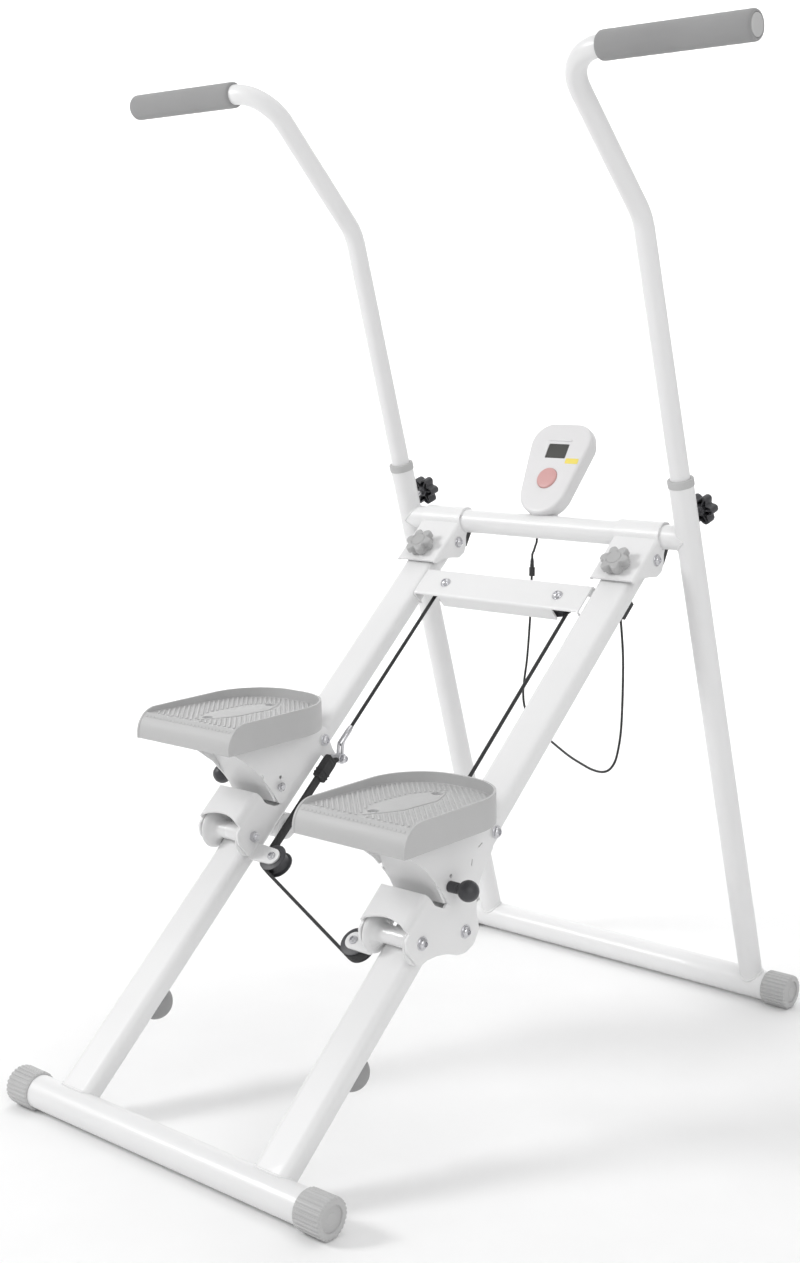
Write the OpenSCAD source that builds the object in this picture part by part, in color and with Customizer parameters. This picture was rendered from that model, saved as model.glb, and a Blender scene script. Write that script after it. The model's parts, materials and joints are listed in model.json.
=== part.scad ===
/* [Floor frames] */
// distance between the axes of the front and rear floor tubes
floor_span = 890; // [700:5:1100]
// length of the front floor tube over its caps
front_tube_len = 520; // [400:5:700]
// length of the rear floor tube over its caps
rear_tube_len = 588; // [450:5:750]
// diameter of both floor tubes
floor_tube_d = 40; // [32:1:50]
// outer diameter of the ribbed end caps
cap_d = 46; // [42:1:60]

/* [Ladder] */
// slope of the two rails above the floor, degrees
rail_angle = 42.3; // [35:0.1:50]
// sideways distance from the middle to each rail axis
rail_x = 163; // [140:1:190]
// rail length along the slope, from the floor tube axis
rail_len = 921; // [800:1:1000]
// width of the rail section
rail_w = 52; // [40:1:60]
// depth of the rail section
rail_t = 27; // [20:1:32]

/* [Rear frame] */
// sideways distance from the middle to each upright axis
upright_x = 232; // [200:1:260]
// diameter of the uprights and of the crossbar
upright_d = 32; // [28:0.5:40]
// forward lean of the uprights, degrees
upright_lean = 17.1; // [10:0.1:25]
// length of each upright from the floor tube axis to its open top
upright_len = 743; // [600:1:850]
// distance up the upright to the crossbar axis
crossbar_at = 672; // [500:1:720]

/* [Handlebars] */
// diameter of the handlebar tube
handle_d = 25.4; // [22:0.1:28]
// distance up the upright line to the first bend
first_bend = 1082; // [950:1:1200]
// length of the forward leaning piece between the bends
reach = 237; // [150:1:300]
// extra lean of that piece, degrees
reach_lean = 27.6; // [10:0.1:45]
// how far the grip end stands out sideways from the upright
grip_out = 243; // [200:1:300]
// length of the foam grip
grip_len = 190; // [120:1:220]
// outer diameter of the foam grip
grip_d = 33; // [29:0.5:40]

/* [Carriages and pedals] */
// place of the left carriage along its rail
left_s = 374; // [190:1:486]
// place of the right carriage along its rail
right_s = 298; // [190:1:486]
// width of the pedal
pedal_w = 166; // [110:1:180]
// length of the pedal
pedal_len = 204; // [170:1:320]
// height of the pedal skirt
pedal_h = 36; // [28:1:45]
// toe-up tilt of the pedal, degrees
pedal_tilt = 1.5; // [0:0.1:20]

/* [Console] */
// backward lean of the console face, degrees
console_lean = 32; // [0:1:60]
// height of the console face
console_h = 138; // [110:1:160]
// greatest width of the console
console_w = 98; // [80:1:110]

/* [Hidden] */
$fn = 48;
front_y = -floor_span / 2;
rear_y = floor_span / 2;
floor_z = cap_d / 2;
cap_len = 38;
wall = 2;
rail_front = rail_t / 2;
hinge_s = 911;
hinge_h = 1;
plate_in = 33;
plate_out = 36;
pivot_s = 172;
pivot_h = 17;
axle_s = 10;
axle_h = 24.5;
rear_s = 63;
rear_h = -31;
pin_y = 110.6;
pin_z = -106.1;
pedal_pivot_y = 192.3;
pedal_pivot_z = -61.2;
drum_x = 68;
drum_s = -3;
cord_x = 52;
beam_s = 827;
pulley_x = 93.4;
pulley_s = 827;
pulley_h = 0;
bumper_s = 158;
// sideways place of the console on the crossbar
console_x = -4;
// centres of the window and the button, up the console face
window_y = 92;
button_y = 50;
beam_clear = 0.05;

// route of the sensor wire, from the plug down, behind the right rail and up to the sensor
wire_route = [
  [-10, 240, 598], [-11, 240, 570], [-12, 240, 540], [-14, 240, 510], [-16, 239, 480],
  [-19, 238, 455], [-20, 237, 435], [-16, 235, 418], [-6, 232, 404], [10, 228, 393],
  [30, 224, 383], [52, 219, 374], [76, 214, 365], [98, 210, 359], [118, 206, 355],
  [136, 203, 355], [150, 200, 361], [160, 198, 374], [166, 196, 392], [170, 195, 415],
  [172, 194, 445], [173, 193, 480], [173, 192, 515], [171, 191, 545], [169, 191, 562],
];
// route of the short console lead, from the crossbar down to the plug
lead_route = [
  [-8, 248, 649], [-8, 247.5, 644], [-9, 246, 639], [-9, 243, 633], [-10, 241, 628], [-10, 240.5, 622.3],
];

// ---------- helpers ----------

// draws the right-hand shape as it is, or mirrored for the left side
module sided(side) {
  if (side < 0) {
    mirror([1, 0, 0]) children();
  } else {
    children();
  }
}

// rail frame: x sideways from the rail axis, y up the slope, z out of the front face
module on_rail(side) {
  sided(side) translate([rail_x, front_y, floor_z]) rotate([rail_angle, 0, 0]) children();
}

// middle frame of the ladder, same slope as the rails
module on_slope() {
  translate([0, front_y, floor_z]) rotate([rail_angle, 0, 0]) children();
}

// upright frame: z up along the leaning upright
module on_upright(side) {
  sided(side) translate([upright_x, rear_y, floor_z]) rotate([upright_lean, 0, 0]) children();
}

// carriage frame of one side
module on_carriage(side) {
  place = side < 0 ? left_s : right_s;
  on_rail(side) translate([0, place, 0]) children();
}

// pedal frame: origin 16 in front of the heel edge at rim height, y towards the toe, z up
module on_pedal(side) {
  on_carriage(side) translate([0, 66.4, 189]) rotate([pedal_tilt - rail_angle, 0, 0]) children();
}

// console frame: y up the face, z out towards the user, origin at the foot of the face
module on_console() {
  translate([console_x, crossbar_y(), crossbar_z() + upright_d / 2]) rotate([90 - console_lean, 0, 0]) children();
}

function crossbar_y() = rear_y - crossbar_at * sin(upright_lean);
function crossbar_z() = floor_z + crossbar_at * cos(upright_lean);
function crossbar_s() = (crossbar_y() - front_y) * cos(rail_angle) + (crossbar_z() - floor_z) * sin(rail_angle);
function crossbar_h() = (crossbar_z() - floor_z) * cos(rail_angle) - (crossbar_y() - front_y) * sin(rail_angle);

// cylinder lying along x between two x values
module bar_x(x0, x1, d) {
  translate([x0, 0, 0]) rotate([0, 90, 0]) cylinder(d = d, h = x1 - x0);
}

// side plate lying in the yz plane between two x values, drawn from its y-z outline
module plate_x(x0, x1) {
  translate([x0, 0, 0]) rotate([90, 0, 90]) linear_extrude(height = x1 - x0) children();
}

// rounded rectangle outline
module round_rect(w, h, r) {
  square([w - 2 * r, h], center = true);
  square([w, h - 2 * r], center = true);
  for (sx = [-1, 1], sy = [-1, 1]) {
    translate([sx * (w / 2 - r), sy * (h / 2 - r)]) circle(r = r);
  }
}

// star outline with six lobes
module star(r, lobe) {
  circle(r = r - lobe);
  for (k = [0 : 5]) {
    rotate([0, 0, 60 * k]) translate([r - lobe, 0]) circle(r = lobe);
  }
}

function unit(v) = v / norm(v);
function bend_dir(p, i) = unit(p[min(i + 1, len(p) - 1)] - p[max(i - 1, 0)]);
function side_dir(t) = unit(cross(t, abs(t[1]) > 0.9 ? [0, 0, 1] : [0, 1, 0]));
function ring(p, i, r, n) = let (t = bend_dir(p, i), a = side_dir(t), b = cross(t, a))
  [for (k = [0 : n - 1]) p[i] + r * (cos(360 * k / n) * a + sin(360 * k / n) * b)];

// round tube swept along a route
module cord(p, r, n) {
  m = len(p);
  points = [for (i = [0 : m - 1]) each ring(p, i, r, n)];
  sides = [for (i = [0 : m - 2], k = [0 : n - 1])
    [i * n + k, i * n + (k + 1) % n, (i + 1) * n + (k + 1) % n, (i + 1) * n + k]];
  first = [for (k = [0 : n - 1]) n - 1 - k];
  last = [for (k = [0 : n - 1]) (m - 1) * n + k];
  polyhedron(points = points, faces = concat([first, last], sides));
}

// ---------- floor tubes and caps ----------

// hollow floor tube lying along x
module floor_tube(len, y) {
  translate([0, y, floor_z]) difference() {
    bar_x(-len / 2 + 4, len / 2 - 4, floor_tube_d);
    bar_x(-len / 2, len / 2, floor_tube_d - 2 * wall);
  }
}

module front_floor_tube() {
  color("white") floor_tube(front_tube_len, front_y);
}

module rear_floor_tube() {
  color("white") floor_tube(rear_tube_len, rear_y);
}

// ribbed cap over a tube end, face recessed, ribs all round
module floor_cap(len, y) {
  translate([len / 2 - cap_len, y, floor_z]) difference() {
    union() {
      bar_x(0, cap_len, cap_d - 2);
      for (k = [0 : 17]) {
        rotate([20 * k + 10, 0, 0]) translate([0, -2, 0]) cube([cap_len - 3, 4, cap_d / 2]);
      }
      translate([0, -9, -cap_d / 2]) cube([cap_len - 2, 18, 9]);
    }
    bar_x(-1, cap_len - 4, floor_tube_d + 0.04);
    bar_x(cap_len - 2, cap_len + 1, 28);
  }
}

module front_caps() {
  color("gray") for (side = [-1, 1]) {
    sided(side) floor_cap(front_tube_len, front_y);
  }
}

module rear_caps() {
  color("gray") for (side = [-1, 1]) {
    sided(side) floor_cap(rear_tube_len, rear_y);
  }
}

// ---------- ladder ----------

// hollow rounded rail, notched over the floor tube, bored for the hinge bolt
module rail(side) {
  on_rail(side) difference() {
    rotate([-90, 0, 0]) linear_extrude(height = rail_len) round_rect(rail_w, rail_t, 11);
    translate([0, -1, 0]) rotate([-90, 0, 0]) linear_extrude(height = rail_len + 2)
      round_rect(rail_w - 2 * wall, rail_t - 2 * wall, 9);
    bar_x(-40, 40, floor_tube_d + 0.04);
    translate([0, hinge_s, hinge_h]) bar_x(-40, 40, 8.1);
  }
}

module rail_left() {
  color("white") rail(-1);
}

module rail_right() {
  color("white") rail(1);
}

// folded crossbeam: face flush with the rails, upper and lower lips, lower lip cut away for the cables
module crossbeam() {
  half = rail_x - rail_w / 2 - beam_clear;
  color("white") on_slope() difference() {
    translate([-half, beam_s - 23, rail_front - 22]) cube([2 * half, 46, 22]);
    translate([-half - 1, beam_s - 20.5, rail_front - 23]) cube([2 * half + 2, 41, 20.5]);
    for (sx = [-1, 1]) {
      translate([sx * 115 - 20, beam_s - 24, rail_front - 23]) cube([40, 4, 21]);
      translate([sx * pulley_x, pulley_s, 0]) cylinder(d = 8.1, h = 40);
    }
  }
}

// domed rubber stops on the rear faces of the rails
module bumpers() {
  color("gray") for (side = [-1, 1]) {
    on_rail(side) translate([0, bumper_s, -rail_front]) intersection() {
      translate([0, 0, -8]) sphere(d = 44);
      translate([-24, -24, -48]) cube([48, 48, 48]);
    }
  }
}

// one grooved cable pulley on its bolt behind the crossbeam face
module cable_pulley(side) {
  sided(side) on_slope() translate([pulley_x, pulley_s, pulley_h]) rotate_extrude() polygon([
    [4.1, -7], [19.8, -7], [19.8, -5], [15, -2.2], [15, 2.2], [19.8, 5], [19.8, 7], [4.1, 7],
  ]);
}

module cable_pulley_left() {
  color("dimgray") cable_pulley(-1);
}

module cable_pulley_right() {
  color("dimgray") cable_pulley(1);
}

// pulley bolts: round heads on the crossbeam face
module beam_bolts() {
  color("silver") for (sx = [-1, 1]) {
    on_slope() translate([sx * pulley_x, pulley_s, 0]) {
      translate([0, 0, -12]) cylinder(d = 8, h = 12 + rail_front);
      translate([0, 0, rail_front]) cylinder(d = 15, h = 1.5);
      translate([0, 0, rail_front + 1.5]) cylinder(d = 11, h = 4);
    }
  }
}

// cable piece that stays inside the crossbeam: over both pulleys and straight across
module cable_top() {
  color("black") on_slope() translate([0, pulley_s, 0]) {
    translate([-pulley_x, 17.6, 0]) bar_x(0, 2 * pulley_x, 5);
    for (side = [-1, 1]) {
      sided(side) translate([pulley_x, 0, 0]) rotate_extrude(angle = 90) translate([17.6, 0]) circle(d = 5);
    }
  }
}

// straight cable from the pulley down to the carriage
module cable_run(side) {
  place = side < 0 ? left_s : right_s;
  on_rail(side) translate([-cord_x, place + 190, 0]) rotate([-90, 0, 0])
    cylinder(d = 5, h = pulley_s - place - 190);
}

module cable_left() {
  color("black") cable_run(-1);
}

module cable_right() {
  color("black") cable_run(1);
}

// ---------- rear frame ----------

// hollow upright with an open top, notched over the floor tube
module upright(side) {
  difference() {
    on_upright(side) difference() {
      cylinder(d = upright_d, h = upright_len);
      translate([0, 0, -1]) cylinder(d = upright_d - 3.4, h = upright_len + 2);
      translate([0, 0, upright_len - 45]) rotate([-90, 0, 0]) cylinder(d = 8.2, h = 30);
    }
    translate([0, rear_y, floor_z]) bar_x(-400, 400, floor_tube_d + 0.04);
  }
}

module upright_left() {
  color("white") upright(-1);
}

module upright_right() {
  color("white") upright(1);
}

// round crossbar between the uprights, coped to both
module crossbar() {
  color("white") difference() {
    translate([0, crossbar_y(), crossbar_z()]) difference() {
      bar_x(-upright_x, upright_x, upright_d);
      bar_x(-upright_x - 1, upright_x + 1, upright_d - 2 * wall);
      translate([-8, 0, -30]) cylinder(d = 4, h = 30);
    }
    for (side = [-1, 1]) {
      on_upright(side) cylinder(d = upright_d + 0.04, h = upright_len);
    }
  }
}

// outline of one bracket flange in the slope frame
module flange_outline() {
  polygon([
    [858, 20.9], [858, 17], [872, 9], [884, -3], [894, -14], [906, -19], [916, -17], [922, -11],
    [934, 2], [944, 9], [940, 24], [930, 20.9],
  ]);
}

// folded bracket welded over the crossbar: front plate, wrapped top and two flanges
module hinge_bracket(side) {
  on_rail(side) difference() {
    union() {
      for (x = [-34, 31]) {
        plate_x(x, x + 3) flange_outline();
      }
      translate([-34, 858, 18]) cube([68, 70, 2.9]);
      translate([0, crossbar_s(), crossbar_h()]) bar_x(-34, 34, upright_d + 6);
    }
    translate([0, crossbar_s(), crossbar_h()]) bar_x(-40, 40, upright_d + 0.04);
    translate([-40, crossbar_s(), -20]) cube([80, 40, 20 + crossbar_h()]);
    translate([-31, 916, -20]) cube([62, 60, 28.4]);
    translate([-40, 954, -20]) cube([80, 40, 60]);
    translate([0, hinge_s, hinge_h]) bar_x(-50, 50, 8.1);
    translate([0, 880, 0]) cylinder(d = 8.2, h = 40);
  }
}

module hinge_brackets() {
  color("white") for (side = [-1, 1]) {
    hinge_bracket(side);
  }
}

// hinge bolts with round heads and washers, one through each bracket and rail
module hinge_bolts() {
  color("silver") for (side = [-1, 1]) {
    on_rail(side) translate([0, hinge_s, hinge_h]) {
      bar_x(-38, 38, 8);
      bar_x(34.02, 35.5, 16);
      bar_x(35.5, 40, 12);
      bar_x(-36, -34.02, 16);
      bar_x(-42, -36, 12);
    }
  }
}

// rubber wedges under the crossbar behind the rail ends
module stop_pads() {
  color("black") for (side = [-1, 1]) {
    difference() {
      sided(side) translate([rail_x, 0, 0]) plate_x(-30.9, 30.9) polygon([
        [247, 632], [250, 629], [264, 655], [247, 655],
      ]);
      translate([0, crossbar_y(), crossbar_z()]) bar_x(-300, 300, upright_d + 0.04);
    }
  }
}

// plastic bush and collar in each open upright top
module sleeve_bushes() {
  color("lightgray") for (side = [-1, 1]) {
    on_upright(side) difference() {
      union() {
        translate([0, 0, upright_len + 0.02]) cylinder(d = 34, h = 10);
        translate([0, 0, upright_len - 30]) cylinder(d = upright_d - 3.44, h = 31);
      }
      translate([0, 0, upright_len - 31]) cylinder(d = handle_d + 0.08, h = 60);
    }
  }
}

// star knob body with its screw, pointing along z, tip at the origin
module star_knob(stem) {
  cylinder(d = 8, h = stem + 6);
  translate([0, 0, stem]) {
    linear_extrude(height = 6) star(17, 6);
    translate([0, 0, 6]) linear_extrude(height = 10) star(21, 7);
  }
}

// hollow star knob: lobed shell open towards the tube, ribs inside, screw in the middle
module hollow_knob(stem) {
  cylinder(d = 8, h = stem + 14);
  translate([0, 0, stem]) {
    cylinder(d = 14, h = 14);
    difference() {
      linear_extrude(height = 16) star(20.5, 7);
      translate([0, 0, -1]) linear_extrude(height = 14) star(18, 6);
    }
    for (k = [0 : 2]) {
      rotate([0, 0, 60 * k]) translate([-17, -0.8, 0]) cube([34, 1.6, 14]);
    }
  }
}

module rail_knob_left() {
  color("gray") on_rail(-1) translate([0, 880, rail_front + 0.05]) star_knob(8);
}

module rail_knob_right() {
  color("gray") on_rail(1) translate([0, 880, rail_front + 0.05]) star_knob(8);
}

// knob behind one upright, its tip against the handlebar tube
module upright_knob(side) {
  on_upright(side) translate([0, handle_d / 2 + 0.05, upright_len - 45]) rotate([-90, 0, 0]) hollow_knob(18);
}

module upright_knob_left() {
  color("dimgray") upright_knob(-1);
}

module upright_knob_right() {
  color("dimgray") upright_knob(1);
}

// ---------- handlebars ----------

// straight tube along z, reaching half a millimetre past both given ends
module tube_z(z0, z1) {
  translate([0, 0, z0 - 0.5]) difference() {
    cylinder(d = handle_d, h = z1 - z0 + 1);
    translate([0, 0, -1]) cylinder(d = handle_d - 3, h = z1 - z0 + 3);
  }
}

// bent tube, a part turn of radius r, its wall a hair thicker so that it takes the straight ends
module tube_bend(r, turn) {
  rotate_extrude(angle = turn) translate([r, 0]) difference() {
    circle(d = handle_d + 0.06);
    circle(d = handle_d - 3.06);
  }
}

// handlebar: straight foot inside the upright, forward bend, reach, sideways bend, grip tube
module handlebar(side) {
  r1 = 70;
  r2 = 52;
  t1 = r1 * tan(reach_lean / 2);
  from = upright_len - 140;
  on_upright(side) {
    tube_z(from, first_bend - t1);
    translate([0, -r1, first_bend - t1]) rotate(a = 120, v = [1, 1, 1]) tube_bend(r1, reach_lean);
    translate([0, 0, first_bend]) rotate([reach_lean, 0, 0]) {
      tube_z(t1, reach - r2);
      translate([r2, 0, reach - r2]) rotate([90, 0, 180]) tube_bend(r2, 90);
      translate([0, 0, reach]) rotate([0, 90, 0]) tube_z(r2, grip_out - 3.5);
    }
  }
}

// grip frame: origin on the grip axis above the upright line
module on_grip(side) {
  on_upright(side) translate([0, 0, first_bend]) rotate([reach_lean, 0, 0]) translate([0, 0, reach]) children();
}

module handlebar_left() {
  color("white") handlebar(-1);
}

module handlebar_right() {
  color("white") handlebar(1);
}

// foam sleeve with rounded ends
module grip(side) {
  on_grip(side) difference() {
    union() {
      bar_x(grip_out - grip_len + 2, grip_out - 2, grip_d);
      bar_x(grip_out - grip_len, grip_out, grip_d - 4);
    }
    bar_x(grip_out - grip_len - 1, grip_out + 1, handle_d + 0.04);
  }
}

module grip_left() {
  color("gray") grip(-1);
}

module grip_right() {
  color("gray") grip(1);
}

// plug pressed into the tube end
module grip_plug(side) {
  on_grip(side) {
    bar_x(grip_out - 18, grip_out - 3, handle_d - 3.04);
    bar_x(grip_out - 2.98, grip_out + 1, handle_d - 1);
  }
}

module grip_plug_left() {
  color("lightgray") grip_plug(-1);
}

module grip_plug_right() {
  color("lightgray") grip_plug(1);
}

// ---------- carriages ----------

// outline of the part both side plates share, with the open notch for the pull pin
module carriage_outline() {
  difference() {
    union() {
      polygon([
        [-12, 5], [-12, 48], [-2, 60], [58, 60], [60, 44], [90, 42], [118, 38], [172, 34],
        [186, 26], [186, 8], [172, 5],
      ]);
      translate([pivot_s, pivot_h]) circle(r = 17);
      translate([-2, 50]) circle(r = 10);
    }
    translate([72, 34]) circle(r = 21);
    translate([51, 34]) square([42, 40]);
  }
}

// rear extension of the outer plate that carries the rear roller
module carriage_tail() {
  difference() {
    polygon([
      [-12, 6], [0, 2], [14, -8], [26, -22], [36, -38], [44, -48], [60, -54], [74, -53], [82, -46],
      [90, -32], [102, -18], [122, -8], [158, 1], [172, 6],
    ]);
    translate([rear_s, rear_h]) circle(d = 8.1);
  }
}

// folded carriage: two side plates, a front web over the roller, cable lug and drum tongue
module carriage(side) {
  on_carriage(side) difference() {
    union() {
      plate_x(plate_in, plate_out) union() {
        carriage_outline();
        carriage_tail();
      }
      plate_x(-plate_out, -plate_in) union() {
        carriage_outline();
        translate([160, -14]) square([16, 20]);
        translate([168, -14]) circle(r = 8);
      }
      translate([-plate_in, 4, 57]) cube([2 * plate_in, 49, 3]);
      translate([-drum_x, -12, 8]) cube([drum_x - plate_in, 20, 2.5]);
      translate([-drum_x, drum_s, 8]) cylinder(d = 22, h = 2.5);
    }
    translate([0, -46, 50]) cylinder(d = 120, h = 20, $fn = 96);
    translate([0, pivot_s, pivot_h]) bar_x(-50, 50, 8.1);
    translate([0, axle_s, axle_h]) bar_x(-50, 50, 8.1);
    translate([0, 168, -14]) bar_x(-50, 0, 6.1);
    translate([-drum_x, drum_s, 0]) cylinder(d = 6.1, h = 20);
  }
}

module carriage_left() {
  color("white") carriage(-1);
}

module carriage_right() {
  color("white") carriage(1);
}

// round headed bolt along x with its head on the outer end
module head_bolt(x0, x1, d) {
  bar_x(x0, x1, d);
  bar_x(x1, x1 + 1.4, 2 * d);
  bar_x(x1 + 1.4, x1 + 5, 1.5 * d);
}

// fixed bolts of one carriage: roller axles, drum bolt and cable bolt
module carriage_bolts(side) {
  on_carriage(side) {
    translate([0, axle_s, axle_h]) head_bolt(-plate_out - 1, plate_out + 0.02, 8);
    translate([0, axle_s, axle_h]) bar_x(-plate_out - 6, -plate_out - 0.02, 13);
    translate([0, rear_s, rear_h]) head_bolt(-25, plate_out + 0.02, 8);
    translate([-drum_x, drum_s, 10.55]) cylinder(d = 11, h = 4);
    translate([-drum_x, drum_s, -11]) cylinder(d = 6, h = 22);
    for (flip = [1, -1]) {
      sided(flip) translate([0, pivot_s, pivot_h]) head_bolt(30, 42.02, 8);
    }
    translate([0, 168, -14]) bar_x(-62, -30, 6);
    translate([0, 168, -14]) bar_x(-64, -60, 10);
  }
}

module carriage_bolts_left() {
  color("silver") carriage_bolts(-1);
}

module carriage_bolts_right() {
  color("silver") carriage_bolts(1);
}

// waisted roller that embraces the front of the rail
module front_roller(side) {
  on_carriage(side) translate([0, axle_s, axle_h]) rotate([0, 90, 0]) rotate_extrude() polygon([
    [4.05, -32.5], [24, -32.5], [26, -31], [25, -28.5], [21, -26.6], [16.4, -25], [14, -23.4], [12, -21],
    [11.1, -18], [10.95, -14], [10.95, 14], [11.1, 18], [12, 21], [14, 23.4], [16.4, 25], [21, 26.6],
    [25, 28.5], [26, 31], [24, 32.5], [4.05, 32.5],
  ]);
}

module front_roller_left() {
  color("whitesmoke") front_roller(-1);
}

module front_roller_right() {
  color("whitesmoke") front_roller(1);
}

// plain roller behind the rail
module rear_roller(side) {
  on_carriage(side) translate([0, rear_s, rear_h]) difference() {
    union() {
      bar_x(-20, 24, 34.8);
      bar_x(-24, 32.9, 20);
    }
    bar_x(-30, 40, 8.1);
  }
}

module rear_roller_left() {
  color("whitesmoke") rear_roller(-1);
}

module rear_roller_right() {
  color("whitesmoke") rear_roller(1);
}

// grooved drum under the tongue that carries the elastic band
module drum(side) {
  on_carriage(side) translate([-drum_x, drum_s, -1]) rotate_extrude() polygon([
    [3.05, -9], [18.5, -9], [18.5, -7], [15, -6.5], [15, 6.5], [18.5, 7], [18.5, 8.9], [3.05, 8.9],
  ]);
}

module drum_left() {
  color("dimgray") drum(-1);
}

module drum_right() {
  color("dimgray") drum(1);
}

// swaged steel cable end above the cable bolt
module cable_end(side) {
  on_carriage(side) translate([-cord_x, 0, 0]) difference() {
    union() {
      translate([0, 168, -14]) bar_x(-4, 4, 13);
      translate([0, 176, -6]) rotate([-65, 0, 0]) cylinder(d = 9, h = 12);
      translate([0, 180, 0]) rotate([-90, 0, 0]) cylinder(d = 8, h = 30);
      translate([-4, 170, -12]) cube([8, 12, 12]);
    }
    translate([0, 168, -14]) bar_x(-20, 20, 6.1);
    translate([0, 190, 0]) rotate([-90, 0, 0]) cylinder(d = 5.04, h = 30);
  }
}

module cable_end_left() {
  color("silver") cable_end(-1);
}

module cable_end_right() {
  color("silver") cable_end(1);
}

// elastic band of one side: buckle, straight piece and the turn round the drum
module band(side, turn) {
  on_carriage(side) {
    translate([15.02 - drum_x, drum_s - 1, -7]) cube([3, 149 - drum_s, 12]);
    translate([-cord_x - 5, 122, -9]) cube([10, 34, 16]);
    translate([-drum_x, drum_s, -6.9]) rotate([0, 0, -turn]) rotate_extrude(angle = turn)
      translate([15.1, 0]) square([2.8, 11.8]);
  }
}

module band_left() {
  color("black") band(-1, 68);
}

module band_right() {
  color("black") band(1, 111.6);
}

// half of the band that crosses from drum to drum
module band_half(side) {
  rise = left_s - right_s;
  half = rail_x - drum_x;
  lean = atan(rise / (2 * half));
  on_slope() translate([0, (left_s + right_s) / 2 + drum_s, -7]) rotate([0, 0, -lean]) {
    from = side < 0 ? -half / cos(lean) : 0;
    translate([from, -18.02, 0]) cube([half / cos(lean), 2.98, 12]);
  }
}

module band_cross_left() {
  color("black") band_half(-1);
}

module band_cross_right() {
  color("black") band_half(1);
}

// ---------- pedals ----------

// outline of one bracket side plate in the pedal frame
module bracket_outline() {
  difference() {
    union() {
      polygon([
        [12, -18.1], [14, -36], [37, -53], [52, -64], [69, -77], [88, -98], [101, -115], [109, -127],
        [117, -128], [134, -107], [186, -77], [200, -61], [195, -50], [172, -40], [165, -18.1],
      ]);
      translate([pedal_pivot_y, pedal_pivot_z]) circle(r = 12);
    }
    translate([pin_y, pin_z]) circle(d = 7);
    translate([113, -93]) circle(d = 5);
  }
}

// folded pedal bracket: top plate under the tread, sloping web and two side plates outside the carriage
module pedal_bracket(side) {
  difference() {
    union() {
      on_pedal(side) {
        for (x = [-39, 36.2]) {
          plate_x(x, x + 2.8) bracket_outline();
        }
        translate([-38.9, 12.5, -21.05]) cube([77.8, 152, 3]);
        plate_x(-36.3, 36.3) polygon([[43, -21], [46.4, -21], [106.6, -125], [103.2, -125]]);
      }
      on_carriage(side) for (x = [-42, 38.5]) {
        translate([x, pivot_s, pivot_h]) bar_x(0, 3.5, 15);
      }
    }
    on_carriage(side) translate([0, pivot_s, pivot_h]) bar_x(-50, 50, 8.1);
  }
}

module pedal_bracket_left() {
  color("white") pedal_bracket(-1);
}

module pedal_bracket_right() {
  color("white") pedal_bracket(1);
}

// plan outline of the pedal from one y value to the broad rounded toe
module pedal_plan(inset, from) {
  toe = pedal_len - 16 - inset;
  half = pedal_w / 2 - inset;
  r = 72 - inset;
  translate([-half, from]) square([2 * half, toe - r - from]);
  translate([r - half, from]) square([2 * half - 2 * r, toe - from]);
  for (sx = [-1, 1]) {
    translate([sx * (half - r), toe - r]) circle(r = r, $fn = 96);
  }
}

// side profile of the pedal: level rim that rolls over into the heel
module pedal_profile() {
  polygon([
    [-16, -pedal_h], [-16, -30], [-14, -22], [-10, -14], [-4, -6], [4, -1.5], [14, 0],
    [pedal_len, 0], [pedal_len, -pedal_h],
  ]);
}

// tray pedal: rim round the toe and both sides, tread falling slightly to the toe, rolled heel
module pedal(side) {
  on_pedal(side) {
    difference() {
      intersection() {
        translate([0, 0, -pedal_h]) linear_extrude(height = pedal_h) pedal_plan(0, -16);
        plate_x(-pedal_w, pedal_w) pedal_profile();
      }
      intersection() {
        translate([0, 0, -30]) linear_extrude(height = 60) pedal_plan(3, -40);
        plate_x(-pedal_w, pedal_w) polygon([[-40, -4.5], [-40, 20], [200, 20], [200, -13.5]]);
      }
      intersection() {
        translate([0, 0, -60]) linear_extrude(height = 60) pedal_plan(3, -13);
        plate_x(-pedal_w, pedal_w) polygon([[-30, -8.8], [200, -17.5], [200, -60], [-30, -60]]);
      }
      for (y = [28, 137]) {
        translate([0, y, -9 - 0.04 * y]) cylinder(d = 13, h = 20);
      }
    }
    for (y = [28, 137]) {
      translate([0, y, -18]) cylinder(d = 18, h = 8.8 - 0.04 * y);
    }
    translate([0, 0, -6.3]) rotate([-2.24, 0, 0]) for (k = [0 : 10], sx = [-1, 1]) {
      translate([sx * 40 - 28, 14 + 13 * k, -0.3]) cube([56, 4, 2.2]);
    }
  }
}

module pedal_left() {
  color("lightgray") pedal(-1);
}

module pedal_right() {
  color("lightgray") pedal(1);
}

// spring pin with a ball knob on the outer side, through both bracket plates
module pull_pin(side) {
  on_pedal(side) translate([0, pin_y, pin_z]) {
    bar_x(-46, 60, 6.9);
    bar_x(39.1, 54, 13);
    translate([66, 0, 0]) sphere(d = 25);
  }
}

module pull_pin_left() {
  color("dimgray") pull_pin(-1);
}

module pull_pin_right() {
  color("dimgray") pull_pin(1);
}

// ---------- console and cords ----------

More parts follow.
